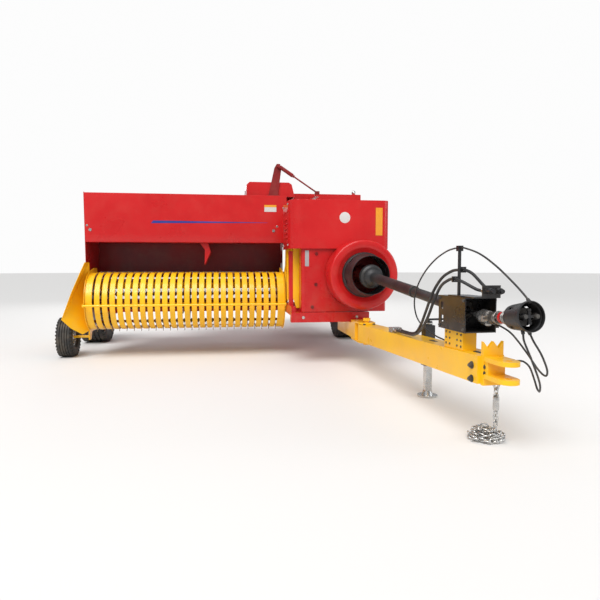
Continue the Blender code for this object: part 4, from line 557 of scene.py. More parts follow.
def ring_points(centre, way, radius, count, start=0.0):
    """Places evenly round an axis, each with its outward way."""
    turn = facing(centre, way)
    for number in range(count):
        angle = start + math.tau * number / count
        out = Vector((math.cos(angle), math.sin(angle), 0.0))
        yield turn @ (out * radius), (turn.to_3x3() @ out).normalized()


def coil(start, end, radius, turns, per_turn=12):
    """The line of a coil spring between two places."""
    start, end = Vector(start), Vector(end)
    turn = facing(start, end - start)
    length = (end - start).length
    count = int(turns * per_turn)
    return [
        turn @ Vector((
            radius * math.cos(math.tau * step / per_turn),
            radius * math.sin(math.tau * step / per_turn), length * step / count,
        ))
        for step in range(count + 1)
    ]


# ---------------------------------------------------------------- hoses and cables
HOSE_R = 0.008
CABLE_R = 0.0045
HOSES = {
    "hydraulic_hose_right": [
        (2.8403, 0.232, 0.4195), (2.94, 0.232, 0.4200), (3.06, 0.226, 0.4235), (3.20, 0.208, 0.436),
        (3.32, 0.196, 0.476), (3.42, 0.193, 0.560), (3.495, 0.194, 0.660), (3.570, 0.198, 0.746),
        (3.655, 0.202, 0.783), (3.700, 0.202, 0.787), (3.740, 0.202, 0.787), (3.785, 0.215, 0.774),
        (3.828, 0.258, 0.742), (3.852, 0.275, 0.735), (3.8847, 0.275, 0.735),
    ],
    "hydraulic_hose_left": [
        (2.8403, 0.268, 0.4195), (2.94, 0.268, 0.4200), (3.05, 0.258, 0.4255), (3.17, 0.236, 0.448),
        (3.28, 0.218, 0.510), (3.36, 0.213, 0.600), (3.43, 0.216, 0.700), (3.515, 0.228, 0.786),
        (3.610, 0.241, 0.828), (3.700, 0.246, 0.835), (3.740, 0.246, 0.835), (3.785, 0.264, 0.816),
        (3.825, 0.304, 0.757), (3.852, 0.322, 0.735), (3.8847, 0.322, 0.735),
    ],
}
CABLES = {
    "light_cable": [
        (3.520, 0.268, 0.4400), (3.480, 0.268, 0.4410), (3.380, 0.266, 0.450), (3.270, 0.250, 0.480),
        (3.205, 0.225, 0.540), (3.190, 0.212, 0.630), (3.235, 0.210, 0.730), (3.330, 0.214, 0.820),
        (3.450, 0.220, 0.890), (3.570, 0.225, 0.932), (3.660, 0.225, 0.946), (3.7077, 0.225, 0.947),
    ],
    "guard_stay": [
        (3.7323, 0.225, 0.947), (3.765, 0.226, 0.946), (3.880, 0.244, 0.915), (4.000, 0.262, 0.855),
        (4.120, 0.279, 0.777), (4.183, 0.287, 0.731), (4.2022, 0.2895, 0.7145),
    ],
    "guard_cable": [
        (3.8503, 0.366, 0.560), (3.885, 0.366, 0.559), (3.960, 0.378, 0.530), (4.040, 0.402, 0.455),
        (4.105, 0.420, 0.385), (4.155, 0.422, 0.366), (4.192, 0.402, 0.400), (4.210, 0.360, 0.470),
        (4.210, 0.320, 0.530), (4.2085, 0.3035, 0.5615),
    ],
    "pin_cable": [
        (4.198, 0.276, 0.5620), (4.203, 0.279, 0.530), (4.214, 0.310, 0.450), (4.200, 0.360, 0.350),
        (4.155, 0.395, 0.298), (4.105, 0.418, 0.296), (4.065, 0.430, 0.330), (4.050, 0.415, 0.385),
        (4.050, 0.385, 0.4120), (4.050, 0.360, 0.4180), (4.050, 0.3254, 0.4180),
    ],
}


def smooth_route(route, spacing):
    """Points a spacing apart along one smooth curve through the route."""
    route = [Vector(point) for point in route]
    ends = [2 * route[0] - route[1]] + route + [2 * route[-1] - route[-2]]
    fine = []
    for a, b, c, d in zip(ends, ends[1:], ends[2:], ends[3:]):
        for step in range(24):
            t = step / 24
            fine.append(
                b + (c - a) * t / 2 + (a - 2.5 * b + 2 * c - d / 2) * t * t
                + (1.5 * (b - c) + (d - a) / 2) * t ** 3
            )
    fine.append(route[-1])
    runs = [(q - p).length for p, q in zip(fine, fine[1:])]
    count = max(4, round(sum(runs) / spacing))
    wanted = [sum(runs) * number / count for number in range(1, count)]
    points, run, index = [fine[0]], 0.0, 0
    for mark in wanted:
        while run + runs[index] < mark:
            run += runs[index]
            index += 1
        points.append(fine[index].lerp(fine[index + 1], (mark - run) / runs[index]))
    return points + [fine[-1]]


def make_cords():
    for name, route in {**HOSES, **CABLES}.items():
        hose = name in HOSES
        radius = HOSE_R if hose else CABLE_R
        points = smooth_route(route, 0.009)
        made, slot = (HOSE, "hose_rubber") if hose else (SHEATH, "cable_sheath")
        line = wires(
            f"{name}_line", [points], radius, "tongue", made, slot, place=TONGUE, fine=4,
            stands_for=(name,),
        )
        length = sum((b - a).length for a, b in zip(points, points[1:]))


# ---------------------------------------------------------------- wheels
MAIN_RIM = 0.195


def tyre_outline(radius, width, rim):
    """Section of a ribbed implement tyre: beads, bulging walls, shoulders and grooves between ribs."""
    half = width / 2
    wall = [
        (rim + 0.001, 0.60 * half), (rim + 0.012, 0.66 * half), (rim + 0.030, 0.80 * half),
        (rim + 0.25 * (radius - rim), 0.90 * half), (rim + 0.50 * (radius - rim), half),
        (rim + 0.68 * (radius - rim), 0.985 * half), (rim + 0.80 * (radius - rim), 0.935 * half),
        (rim + 0.90 * (radius - rim), 0.85 * half), (radius - 0.006, 0.78 * half),
        (radius, 0.70 * half),
    ]
    depth, gap = 0.055 * (radius - rim) + 0.004, 0.035 * width
    tread = []
    for place in (0.46, 0.15, -0.15, -0.46):
        middle = place * half
        tread += [
            (radius, middle + gap / 2 + 0.001), (radius - depth, middle + gap / 2 - 0.001),
            (radius - depth, middle - gap / 2 + 0.001), (radius, middle - gap / 2 - 0.001),
        ]
    return wall + tread + [(r, -a) for r, a in reversed(wall)]


def make_tyre(name, radius, width, rim, centre, steps, blocks):
    shape = bmesh.new()
    add_turned(shape, tyre_outline(radius, width, rim), centre, (0, 1, 0), steps, closed=True)
    for side in (-1, 1):
        middle = Vector(centre) + Vector((0, side * width * 0.435, 0))
        for place, out in ring_points(middle, (0, 1, 0), radius * 0.945, blocks):
            across = out.cross(Vector((0, 1, 0)))
            turn = Matrix((across, (0, 1, 0), out)).transposed().to_4x4()
            size = Vector((radius * 0.045, width * 0.045, radius * 0.05))
            add_block(shape, place - size, place + size, turn)
    finish(
        shape, f"{name}_ribbed_tyre", name, RUBBER, "tyre_rubber", corner=0.0015,
        stands_for=(f"{name}_tyre",),
    )


def make_rim(name, half, rim, centre, bore, made, slot, outer, steps, nuts):
    """Pressed wheel centre in a well-base rim, with its hub, nuts and valve."""
    shape = bmesh.new()
    dish = 0.02 if bore > 0.02 else 0.0
    outline = [
        (rim + 0.008, -half - 0.003), (rim + 0.009, -half + 0.002), (rim - 0.001, -half + 0.005),
        (rim - 0.002, -half * 0.55), (rim - 0.016, -half * 0.35), (rim - 0.016, half * 0.35),
        (rim - 0.002, half * 0.55), (rim - 0.001, half - 0.005), (rim + 0.009, half - 0.002),
        (rim + 0.008, half + 0.003), (rim - 0.006, half + 0.001), (rim - 0.010, half * 0.55),
        (rim - 0.023, half * 0.35), (rim - 0.026, dish + 0.010), (rim * 0.70, dish + 0.020 * outer),
        (bore + 0.060 * rim / MAIN_RIM, dish + 0.008), (bore + 0.040 * rim / MAIN_RIM, dish + 0.040),
        (bore + 0.002, dish + 0.050), (bore, dish + 0.048), (bore, dish - 0.048),
        (bore + 0.040 * rim / MAIN_RIM, dish - 0.046), (bore + 0.055 * rim / MAIN_RIM, dish + 0.001),
        (rim * 0.70, dish - 0.006 + 0.020 * outer), (rim - 0.029, dish - 0.002),
        (rim - 0.023, -half * 0.35), (rim - 0.010, -half * 0.55), (rim - 0.006, -half - 0.001),
    ]
    add_turned(shape, outline, centre, (0, 1, 0), steps, closed=True)
    face = Vector(centre) + Vector((0, dish + 0.012 * outer + (0.006 if outer > 0 else -0.002), 0))
    for place, _ in ring_points(face, (0, 1, 0), rim * 0.52, nuts, 0.3):
        add_bolt(shape, place, (0, outer, 0), rim * 0.11, stud=True)
    valve = Vector(centre) + Vector((rim * 0.55, (half * 0.35) * outer, rim * 0.55))
    add_round(shape, valve, (0.35, outer, 0.35), 0.004, 0.035, 8)
    cap_start = Vector(centre) + Vector((0, outer * 0.048 + dish, 0))
    add_turned(
        shape, [(0.0001, 0.022), (bore * 0.7, 0.020), (bore + 0.008, 0.008), (bore + 0.009, 0.0),
                (0.0001, 0.0)],
        cap_start, (0, outer, 0), 24,
    )
    finish(shape, f"{name}_wheel_disc", name, made, slot, stands_for=(f"{name}_rim",))


def make_wheels():
    from_world = at(0, 0, 0)
    for name, radius, width, side in (
        ("main_wheel_left", 0.390, 0.300, 1), ("main_wheel_right", 0.365, 0.270, -1),
    ):
        centre = middle_of(f"{name}_tyre") - from_world
        make_tyre(name, radius, width, MAIN_RIM, centre, 72, 44)
        make_rim(name, width * 0.30, MAIN_RIM, centre, 0.0307, YELLOW, "yellow_paint", side, 48, 6)
    centre = middle_of("gauge_wheel_tyre") - from_world
    make_tyre("gauge_wheel", 0.184, 0.145, 0.076, centre, 56, 32)
    make_rim("gauge_wheel", 0.0435, 0.076, centre, 0.0132, ZINC, "zinc_plated", -1, 36, 4)


# ---------------------------------------------------------------- pickup
REEL_X, REEL_Z = 1.062, 0.522
BAND_OUT = 0.266
INNER_Y, OUTER_Y = -0.3073, -2.1037
TINE_YS = [-0.383 - 0.066 * row for row in range(26)]


def make_bands():
    """Strips bent round the reel, each with its two edges turned in, on a full-width back plate."""
    edges = [INNER_Y] + [y + side * 0.009 for y in TINE_YS for side in (1, -1)] + [OUTER_Y]
    shape = bmesh.new()
    profile = []
    for high, low in zip(edges[0::2], edges[1::2]):
        high, low = high - 0.0005, low + 0.0005
        across = [
            (high, 0.011), (high, 0.003), (high - 0.003, 0.0), ((high + low) / 2, 0.0),
            (low + 0.003, 0.0), (low, 0.003), (low, 0.011),
        ]
        points = [shape.verts.new((REEL_X, y, REEL_Z + BAND_OUT - deep)) for y, deep in across]
        profile += [shape.edges.new(pair) for pair in zip(points, points[1:])]
    last = bmesh.ops.spin(
        shape, geom=profile, cent=(REEL_X, 0, REEL_Z), axis=(0, 1, 0), angle=math.pi, steps=26,
    )["geom_last"]
    for run in (profile, [item for item in last if isinstance(item, bmesh.types.BMEdge)]):
        grown = bmesh.ops.extrude_edge_only(shape, edges=run)["geom"]
        moved = [item for item in grown if isinstance(item, bmesh.types.BMVert)]
        bmesh.ops.translate(shape, vec=(-0.205, 0, 0), verts=moved)
    finish(
        shape, "bent_bands", "pickup", YELLOW, "yellow_paint", wall=0.002,
        stands_for=("pickup_bands",),
    )
    shape = bmesh.new()
    for z in (REEL_Z + BAND_OUT - 0.004, REEL_Z - BAND_OUT):
        add_block(shape, (0.802, OUTER_Y + 0.001, z), (0.866, INNER_Y - 0.001, z + 0.004))
    for high, low in zip(edges[0::2], edges[1::2]):
        for z, way in ((REEL_Z + BAND_OUT, 1), (REEL_Z - BAND_OUT, -1)):
            add_round(shape, (0.835, (high + low) / 2, z), (0, 0, way), 0.009, 0.003, 12, 0.006)
    finish(shape, "band_back_plates", "pickup", YELLOW, "yellow_paint", corner=0.001)


def make_reel():
    """Tine reel: centre tube, three discs, four bars and sprung tines."""
    shape = bmesh.new()
    ends = (-2.117, -0.3005)
    add_round(shape, (REEL_X, ends[0], REEL_Z), (0, 1, 0), 0.020, ends[1] - ends[0], 24)
    for y in (-2.078, -1.2055, -0.325):
        add_turned(
            shape, [(0.021, -0.012), (0.040, -0.012), (0.042, -0.003), (0.226, -0.003), (0.226, 0.003),
                    (0.042, 0.003), (0.040, 0.012), (0.021, 0.012)],
            (REEL_X, y, REEL_Z), (0, 1, 0), 40, closed=True,
        )
    runs = []
    for number in range(4):
        turn = math.radians(22.0 + 90.0 * number)
        out = Vector((math.cos(turn), 0.0, math.sin(turn)))
        side = Vector((math.sin(turn), 0.0, -math.cos(turn)))
        bar = Vector((REEL_X, 0, REEL_Z)) + out * 0.200
        add_round(shape, bar + Vector((0, -2.084, 0)), (0, 1, 0), 0.0125, 1.765, 12)
        for y in TINE_YS:
            start = bar + Vector((0, y, 0))
            wound = [
                start + out * 0.019 * math.cos(step * 0.698) + side * 0.019 * math.sin(step * 0.698)
                + Vector((0, 0.0052 * step / 9 - 0.012, 0)) for step in range(19)
            ]
            leg = [start + out * 0.019 + Vector((0, -0.002, 0)), start + out * 0.060 + side * 0.001,
                   start + out * 0.088 - side * 0.003, start + out * 0.0985 - side * 0.006]
            runs.append(wound + leg)
            add_bolt(shape, start - out * 0.010, -out, 0.012)
    finish(
        shape, "tine_reel_core", "pickup_reel", DARK_RED, "bare_steel", stands_for=("pickup_reel",)
    )
    wires("sprung_tines", runs, 0.0027, "pickup_reel", TINE_STEEL, "bare_steel")


# ---------------------------------------------------------------- drive line
FLY = Vector((0.0, 0.275, 0.780))
REAR_JOINT = Vector((2.100, 0.275, 0.780))
MID_JOINT = Vector((3.920, 0.275, 0.605))
PTO_END = Vector((4.215, 0.290, 0.640))
ALONG = (MID_JOINT - REAR_JOINT).normalized()
FRONT_ALONG = (PTO_END - MID_JOINT).normalized()
HANGER_X = 3.6613  # where the guard tube meets the support box


def make_guard_ring():
    """Rolled ring round the flywheel, with its bolts."""
    shape = bmesh.new()
    outline = [
        (0.287, 1.8003), (0.287, 2.001), (0.2845, 2.011), (0.2795, 2.017), (0.273, 2.0198),
        (0.226, 2.0198), (0.219, 2.017), (0.190, 1.998), (0.1655, 1.996), (0.1655, 1.990),
        (0.190, 1.991), (0.221, 2.0115), (0.273, 2.014), (0.282, 2.001), (0.282, 1.8003),
    ]
    add_turned(shape, outline, FLY, (1, 0, 0), 72, closed=True)
    finish(
        shape, "flywheel_guard_ring", "chassis", RED, "red_paint", stands_for=("flywheel_guard",)
    )
    shape = bmesh.new()
    for place, _ in ring_points(FLY + Vector((1.998, 0, 0)), (1, 0, 0), 0.178, 6, 0.5):
        add_bolt(shape, place, (1, 0, 0), 0.013)
    finish(shape, "guard_ring_bolts", "chassis", ZINC, "zinc_plated")


def make_bell():
    """Moulded bell over the rear joint, with a flange, a ribbed neck and air slots."""
    shape = bmesh.new()
    outline = [
        (0.158, 1.9865), (0.163, 1.9962), (0.184, 1.9966), (0.186, 2.000), (0.1858, 2.018),
        (0.183, 2.026), (0.1755, 2.033), (0.1735, 2.050), (0.1705, 2.070), (0.1675, 2.090),
        (0.1635, 2.115), (0.160, 2.140), (0.156, 2.165), (0.153, 2.190), (0.1555, 2.200),
        (0.156, 2.212), (0.154, 2.218), (0.1515, 2.2178), (0.1495, 2.205), (0.146, 2.190),
    ]
    add_turned(shape, outline, FLY, (1, 0, 0), 72)
    shape.faces.ensure_lookup_table()
    holes = []
    for face in shape.faces:
        spot = face.calc_center_median()
        turn = math.degrees(math.atan2(spot.z - FLY.z, spot.y - FLY.y)) % 60.0
        if 2.05 < spot.x < 2.07 and 10.0 < turn < 25.0:
            holes.append(face)
    bmesh.ops.delete(shape, geom=holes, context="FACES")
    finish(
        shape, "joint_bell", "chassis", PLASTIC, "black_plastic", wall=0.004,
        stands_for=("pto_bell_guard",),
    )


def make_guard_tube():
    """Two-part guard tube with its ribbed end cone and the step where the tubes slide."""
    shape = bmesh.new()
    end = (HANGER_X - REAR_JOINT.x) / ALONG.x
    outline = [
        (0.0190, 0.072), (0.088, 0.074), (0.092, 0.080), (0.0925, 0.100), (0.090, 0.118),
        (0.078, 0.126), (0.072, 0.134), (0.068, 0.152), (0.058, 0.166), (0.046, 0.176), (0.040, 0.186),
        (0.037, 0.198), (0.037, 0.935), (0.0385, 0.938), (0.0385, 0.950),
        (0.037, 0.953), (0.0312, 0.954), (0.0310, 0.960), (0.0310, end), (0.0190, end),
    ]
    add_turned(shape, outline, REAR_JOINT, ALONG, 48)
    for along, ring in ((0.092, 0.0922), (0.108, 0.0915), (0.142, 0.0700)):
        add_turned(
            shape, [(ring - 0.003, along - 0.003), (ring + 0.002, along - 0.002),
                    (ring + 0.002, along + 0.002), (ring - 0.003, along + 0.003)],
            REAR_JOINT, ALONG, 48, closed=True,
        )
    finish(
        shape, "shaft_guard_tube", "tongue", PLASTIC, "black_plastic", place=TONGUE,
        stands_for=("pto_guard_tube",),
    )


def make_front_guard():
    """Bell guard at the shaft's front end, with air slots and bosses for the stay and cables."""
    shape = bmesh.new()
    outline = [
        (0.0185, 0.180), (0.044, 0.182), (0.050, 0.186), (0.0545, 0.194), (0.0565, 0.204),
        (0.0582, 0.222), (0.0600, 0.242), (0.0615, 0.262), (0.0628, 0.282), (0.0634, 0.294),
        (0.0670, 0.298), (0.0682, 0.303), (0.0682, 0.312), (0.0670, 0.3162), (0.0645, 0.3168),
        (0.0630, 0.312), (0.0610, 0.302),
    ]
    add_turned(shape, outline, MID_JOINT, FRONT_ALONG, 60)
    spin = facing(MID_JOINT, FRONT_ALONG).inverted()
    holes = []
    for face in shape.faces:
        spot = spin @ face.calc_center_median()
        turn = math.degrees(math.atan2(spot.y, spot.x)) % 90.0
        if 0.222 < spot.z < 0.242 and 40.0 < turn < 55.0:
            holes.append(face)
    bmesh.ops.delete(shape, geom=holes, context="FACES")
    for route, end, before in (("guard_stay", -1, -2), ("guard_cable", -1, -2), ("pin_cable", 0, 1)):
        tip = Vector(CABLES[route][end])
        way = (tip - Vector(CABLES[route][before])).normalized()
        add_round(shape, tip + way * 0.0003, way, 0.0075, 0.020, 16, 0.0085)
    finish(
        shape, "shaft_front_guard", "tongue", PLASTIC, "black_plastic", place=TONGUE, wall=0.003,
        stands_for=("pto_front_guard",),
    )


def add_yoke(shape, centre, way, side, spread_by, reach):
    """A forged fork: a round socket and two arms that end in eyes with bearing caps."""
    centre, way, side = Vector(centre), Vector(way).normalized(), Vector(side).normalized()
    third = way.cross(side).normalized()
    add_turned(
        shape, [(0.0001, reach), (0.020, reach), (0.026, reach + 0.004), (0.027, reach + 0.022),
                (0.022, reach + 0.030), (0.0001, reach + 0.030)],
        centre, way, 28,
    )
    for sign in (-1, 1):
        out = side * sign
        turn = Matrix((third, out, way)).transposed().to_4x4()
        middle = centre + out * spread_by + way * (reach / 2 + 0.004)
        size = Vector((0.013, 0.0052, reach / 2 + 0.004))
        add_block(shape, middle - size, middle + size, turn)
        add_round(shape, centre + out * (spread_by - 0.0055), out, 0.016, 0.011, 24)
        add_round(shape, centre + out * (spread_by + 0.0055), out, 0.0105, 0.002, 20)


def make_joint_fittings():
    """Forks, crosses, clutch flanges and collar of the two universal joints and the shaft's end."""
    across = FRONT_ALONG.cross(Vector((0, 0, 1))).normalized()
    upright = across.cross(FRONT_ALONG).normalized()
    shape = bmesh.new()
    add_yoke(shape, MID_JOINT, FRONT_ALONG, across, 0.029, 0.036)
    add_round(shape, MID_JOINT + FRONT_ALONG * 0.070, FRONT_ALONG, 0.0205, 0.105, 24)
    for along in (0.086, 0.142, 0.152):
        add_turned(
            shape, [(0.019, along - 0.004), (0.031, along - 0.003), (0.033, along),
                    (0.031, along + 0.003), (0.019, along + 0.004)],
            MID_JOINT, FRONT_ALONG, 30, closed=True,
        )
    for place, _ in ring_points(MID_JOINT + FRONT_ALONG * 0.090, FRONT_ALONG, 0.024, 6):
        add_bolt(shape, place, FRONT_ALONG, 0.009, stud=True)
    finish(
        shape, "front_joint_forks", "pto_front_shaft", STEEL, "zinc_plated", place=TONGUE, corner=0.0012
    )
    shape = bmesh.new()
    add_yoke(shape, PTO_END, -FRONT_ALONG, across, 0.030, 0.034)
    add_round(shape, PTO_END - across * 0.026, across, 0.008, 0.052, 16)
    add_round(shape, PTO_END - upright * 0.024, upright, 0.008, 0.048, 16)
    for sign in (-1, 1):
        add_round(shape, PTO_END + upright * sign * 0.024, upright * sign, 0.0105, 0.010, 20, 0.0100)
    finish(
        shape, "shaft_end_fork", "pto_front_shaft", BLACK, "zinc_plated", place=TONGUE, corner=0.0012
    )
    shape = bmesh.new()
    ear = ALONG.cross(Vector((0, 1, 0))).normalized()
    add_yoke(shape, REAR_JOINT, ALONG, ear, 0.029, 0.040)
    add_yoke(shape, MID_JOINT, -ALONG, ear, 0.029, 0.040)
    finish(
        shape, "rear_shaft_forks", "pto_rear_shaft", STEEL, "zinc_plated", place=TONGUE, corner=0.0012
    )
    shape = bmesh.new()
    for along in (0.112, 0.121):
        add_turned(
            shape, [(0.0206, along - 0.0035), (0.0275, along - 0.003), (0.0275, along + 0.003),
                    (0.0206, along + 0.0035)], MID_JOINT, FRONT_ALONG, 28, closed=True,
        )
    finish(shape, "clutch_collar", "pto_front_shaft", RED, "red_paint", place=TONGUE)


# ---------------------------------------------------------------- chain
def chain_link(centre, along, side, length=0.036, width=0.0225):
    along, side = Vector(along).normalized(), Vector(side)
    side = (side - along * side.dot(along)).normalized()
    straight = (length - width) / 2
    points = []
    for sign in (1, -1):
        for step in range(6):
            angle = math.pi * (step / 5 - 0.5)
            points.append(
                Vector(centre) + along * sign * (straight + width / 2 * math.cos(angle))
                + side * sign * width / 2 * math.sin(angle)
            )
    return points


def make_chain():
    """Short-link chain from the hitch through a crimped sleeve down to its heap on the ground."""
    top = Vector((3.930, 0.320, 0.2865))
    links, pitch, number = [], 0.0262, 0
    z = top.z - 0.012
    while z > 0.085:
        twist = math.radians(90.0 * (number % 2) + 20.0)
        links.append(chain_link((top.x, top.y, z), (0, 0, 1), (math.cos(twist), math.sin(twist), 0)))
        number += 1
        z -= pitch
    centre = Vector((top.x - 0.050, top.y - 0.020, 0.0))
    for rings, height, count in ((0.078, 0.0125, 19), (0.052, 0.0150, 12), (0.060, 0.0330, 14),
                                 (0.030, 0.0340, 7), (0.040, 0.0520, 9), (0.012, 0.0480, 3)):
        for step in range(count):
            angle = math.tau * step / count + height * 40.0
            wave = math.sin(step * 2.3 + height * 90.0)
            out = Vector((math.cos(angle), math.sin(angle), 0.0))
            spot = centre + out * (rings + 0.006 * wave) + Vector((0, 0, height + 0.002 * wave))
            way = Vector((-out.y, out.x, 0.10 * wave)) + out * 0.35 * math.sin(step * 1.7)
            tilt = math.radians(58.0 * (step % 2) + 14.0 * wave + 10.0)
            side = out * math.cos(tilt) + Vector((0, 0, 1)) * math.sin(tilt)
            links.append(chain_link(spot, way, side))
    low = [min(point.z for point in link) for link in links]
    for link, bottom in zip(links, low):
        if bottom < 0.0047:
            for point in link:
                point.z += 0.0047 - bottom
    wires(
        "safety_chain_links", links, 0.0044, "tongue", ZINC, "zinc_plated", place=TONGUE, closed=True,
        stands_for=("safety_chain",),
    )
    shape = bmesh.new()
    add_turned(
        shape, [(0.0135, 0.0), (0.0150, 0.004), (0.0150, 0.062), (0.0135, 0.066), (0.0120, 0.064),
                (0.0120, 0.002)],
        (top.x, top.y, 0.158), (0, 0, 1), 24, closed=True,
    )
    add_turned(
        shape, [(0.0160, -0.006), (0.0215, -0.003), (0.0215, 0.003), (0.0160, 0.006)],
        (top.x, top.y, 0.286), (1, 0, 0), 20, closed=True,
    )
    finish(shape, "chain_sleeve_and_eye", "tongue", ZINC, "zinc_plated", place=TONGUE)


# ---------------------------------------------------------------- markings and small fittings
WHITE_FILM = paint(
    "White film", (0.62, 0.61, 0.59), (0.50, 0.49, 0.47), (0.5, 0.48, 0.45), dust=0.15, scuffs=0.1
)
GREY_FILM = paint(
    "Grey film", (0.45, 0.45, 0.46), (0.36, 0.36, 0.37), (0.3, 0.3, 0.3), dust=0.15, scuffs=0.1
)
BLUE_FILM = paint(
    "Blue film", (0.030, 0.055, 0.30), (0.022, 0.040, 0.24), (0.15, 0.1, 0.2),
    dust=0.1, scuffs=0.05,
)
AMBER = paint(
    "Amber reflector", (0.80, 0.36, 0.03), (0.70, 0.28, 0.02), (0.5, 0.3, 0.1),
    dust=0.15, scuffs=0.1,
)
HOUSE_X = 0.9803  # front of the feeder housing
SHIELD_X = 1.8003  # front of the upper shield
LOWER_X = 1.7753  # front of the lower shield
BOX_RIGHT, BOX_FRONT, BOX_BACK = -1.4201, 0.3301, -0.4201  # the twine box's outer sides
CHAMBER_SIDE = 0.2382
TENSION_X, TENSION_Y = -1.12, 0.293  # the screws that squeeze the bale
FEEDER_RIGHT = -2.1751
SHIELD_RIGHT, SHIELD_LEFT = -0.3201, 0.5501


def front_patch(shape, x, low, high, thickness=0.0006):
    """A thin film or plate on a face that looks forward, given by its Y and Z corners."""
    (y0, z0), (y1, z1) = low, high
    add_sheet(shape, [(x, y0, z0), (x, y1, z0), (x, y1, z1), (x, y0, z1)], (1, 0, 0), thickness)


def make_markings():
    """The blue stripe, the blank labels and the reflector."""
    shape = bmesh.new()
    add_sheet(
        shape, [(HOUSE_X, -1.56, 1.262), (HOUSE_X, -1.25, 1.266), (HOUSE_X, -0.437, 1.2765),
                (HOUSE_X, -0.437, 1.2785), (HOUSE_X, -1.25, 1.286), (HOUSE_X, -1.54, 1.288)],
        (1, 0, 0), 0.0006,
    )
    finish(shape, "panel_stripe", "chassis", BLUE_FILM, "red_paint")
    shape = bmesh.new()
    front_patch(shape, HOUSE_X, (-0.470, 1.385), (-0.352, 1.430))
    finish(shape, "panel_label", "chassis", WHITE_FILM, "red_paint")
    shape = bmesh.new()
    front_patch(shape, HOUSE_X, (-0.470, 1.4305), (-0.352, 1.452))
    finish(shape, "panel_label_head", "chassis", AMBER, "red_paint")
    shape = bmesh.new()
    add_turned(
        shape, [(0.0001, 0.0008), (0.044, 0.0008), (0.0465, 0.0004), (0.0468, 0.0), (0.0001, 0.0)],
        (SHIELD_X, 0.157, 1.265), (1, 0, 0), 40,
    )
    finish(shape, "shield_round_label", "chassis", WHITE_FILM, "red_paint")
    shape = bmesh.new()
    front_patch(shape, SHIELD_X, (0.428, 1.115), (0.488, 1.352), 0.002)
    finish(shape, "shield_reflector", "chassis", AMBER, "red_paint", corner=0.0006)
    shape = bmesh.new()
    front_patch(shape, LOWER_X, (-0.184, 0.850), (-0.150, 0.985))
    finish(shape, "shield_side_label", "chassis", GREY_FILM, "red_paint")


def make_bolts():
    """Bolts on the front panel, the lower shield and the hitch."""
    shape = bmesh.new()
    for y, z in ((-2.122, 1.195), (-0.380, 1.199)):
        add_bolt(shape, (HOUSE_X, y, z), (1, 0, 0), 0.020)
    for y, z in ((-2.150, 1.236), (-0.345, 1.240)):
        add_round(shape, (HOUSE_X, y, z), (1, 0, 0), 0.011, 0.003, 16, 0.008)
    finish(shape, "panel_bolts", "chassis", ZINC, "zinc_plated")
    shape = bmesh.new()
    for y, z in ((-0.085, 0.957), (-0.089, 0.694), (0.46, 0.56), (-0.12, 0.50), (0.40, 0.49)):
        add_bolt(shape, (LOWER_X, y, z), (1, 0, 0), 0.020)
    finish(shape, "shield_bolts", "chassis", DARK_RED, "red_paint")
    shape = bmesh.new()
    for z in (0.3155, 0.3815):
        add_bolt(shape, (3.900, 0.2048, z - 0.004), (0, -1, 0), 0.026, stud=True)
    for y in (0.235, 0.315):
        for z in (0.315, 0.345):
            add_bolt(shape, (3.9727, y, z + 0.035), (1, 0, 0), 0.018, stud=True)
    finish(shape, "hitch_bolts", "tongue", CAST, "bare_steel", place=TONGUE)


def make_side_guard():
    """Folded guard plate on the chamber's front corner, beside the pickup drive."""
    shape = bmesh.new()
    x = 1.6003
    add_sheet(
        shape, [(x, -0.262, 0.560), (x, -0.236, 0.480), (x, -0.158, 0.480), (x, -0.158, 1.105),
                (x, -0.236, 1.118), (x, -0.262, 1.100)],
        (1, 0, 0), 0.003,
    )
    add_block(shape, (1.450, -0.264, 0.560), (x + 0.003, -0.261, 1.100))
    for z in (0.62, 0.80, 0.98):
        add_bolt(shape, (x + 0.003, -0.208, z), (1, 0, 0), 0.016)
    finish(shape, "drive_side_guard", "chassis", YELLOW, "yellow_paint", corner=0.0012)


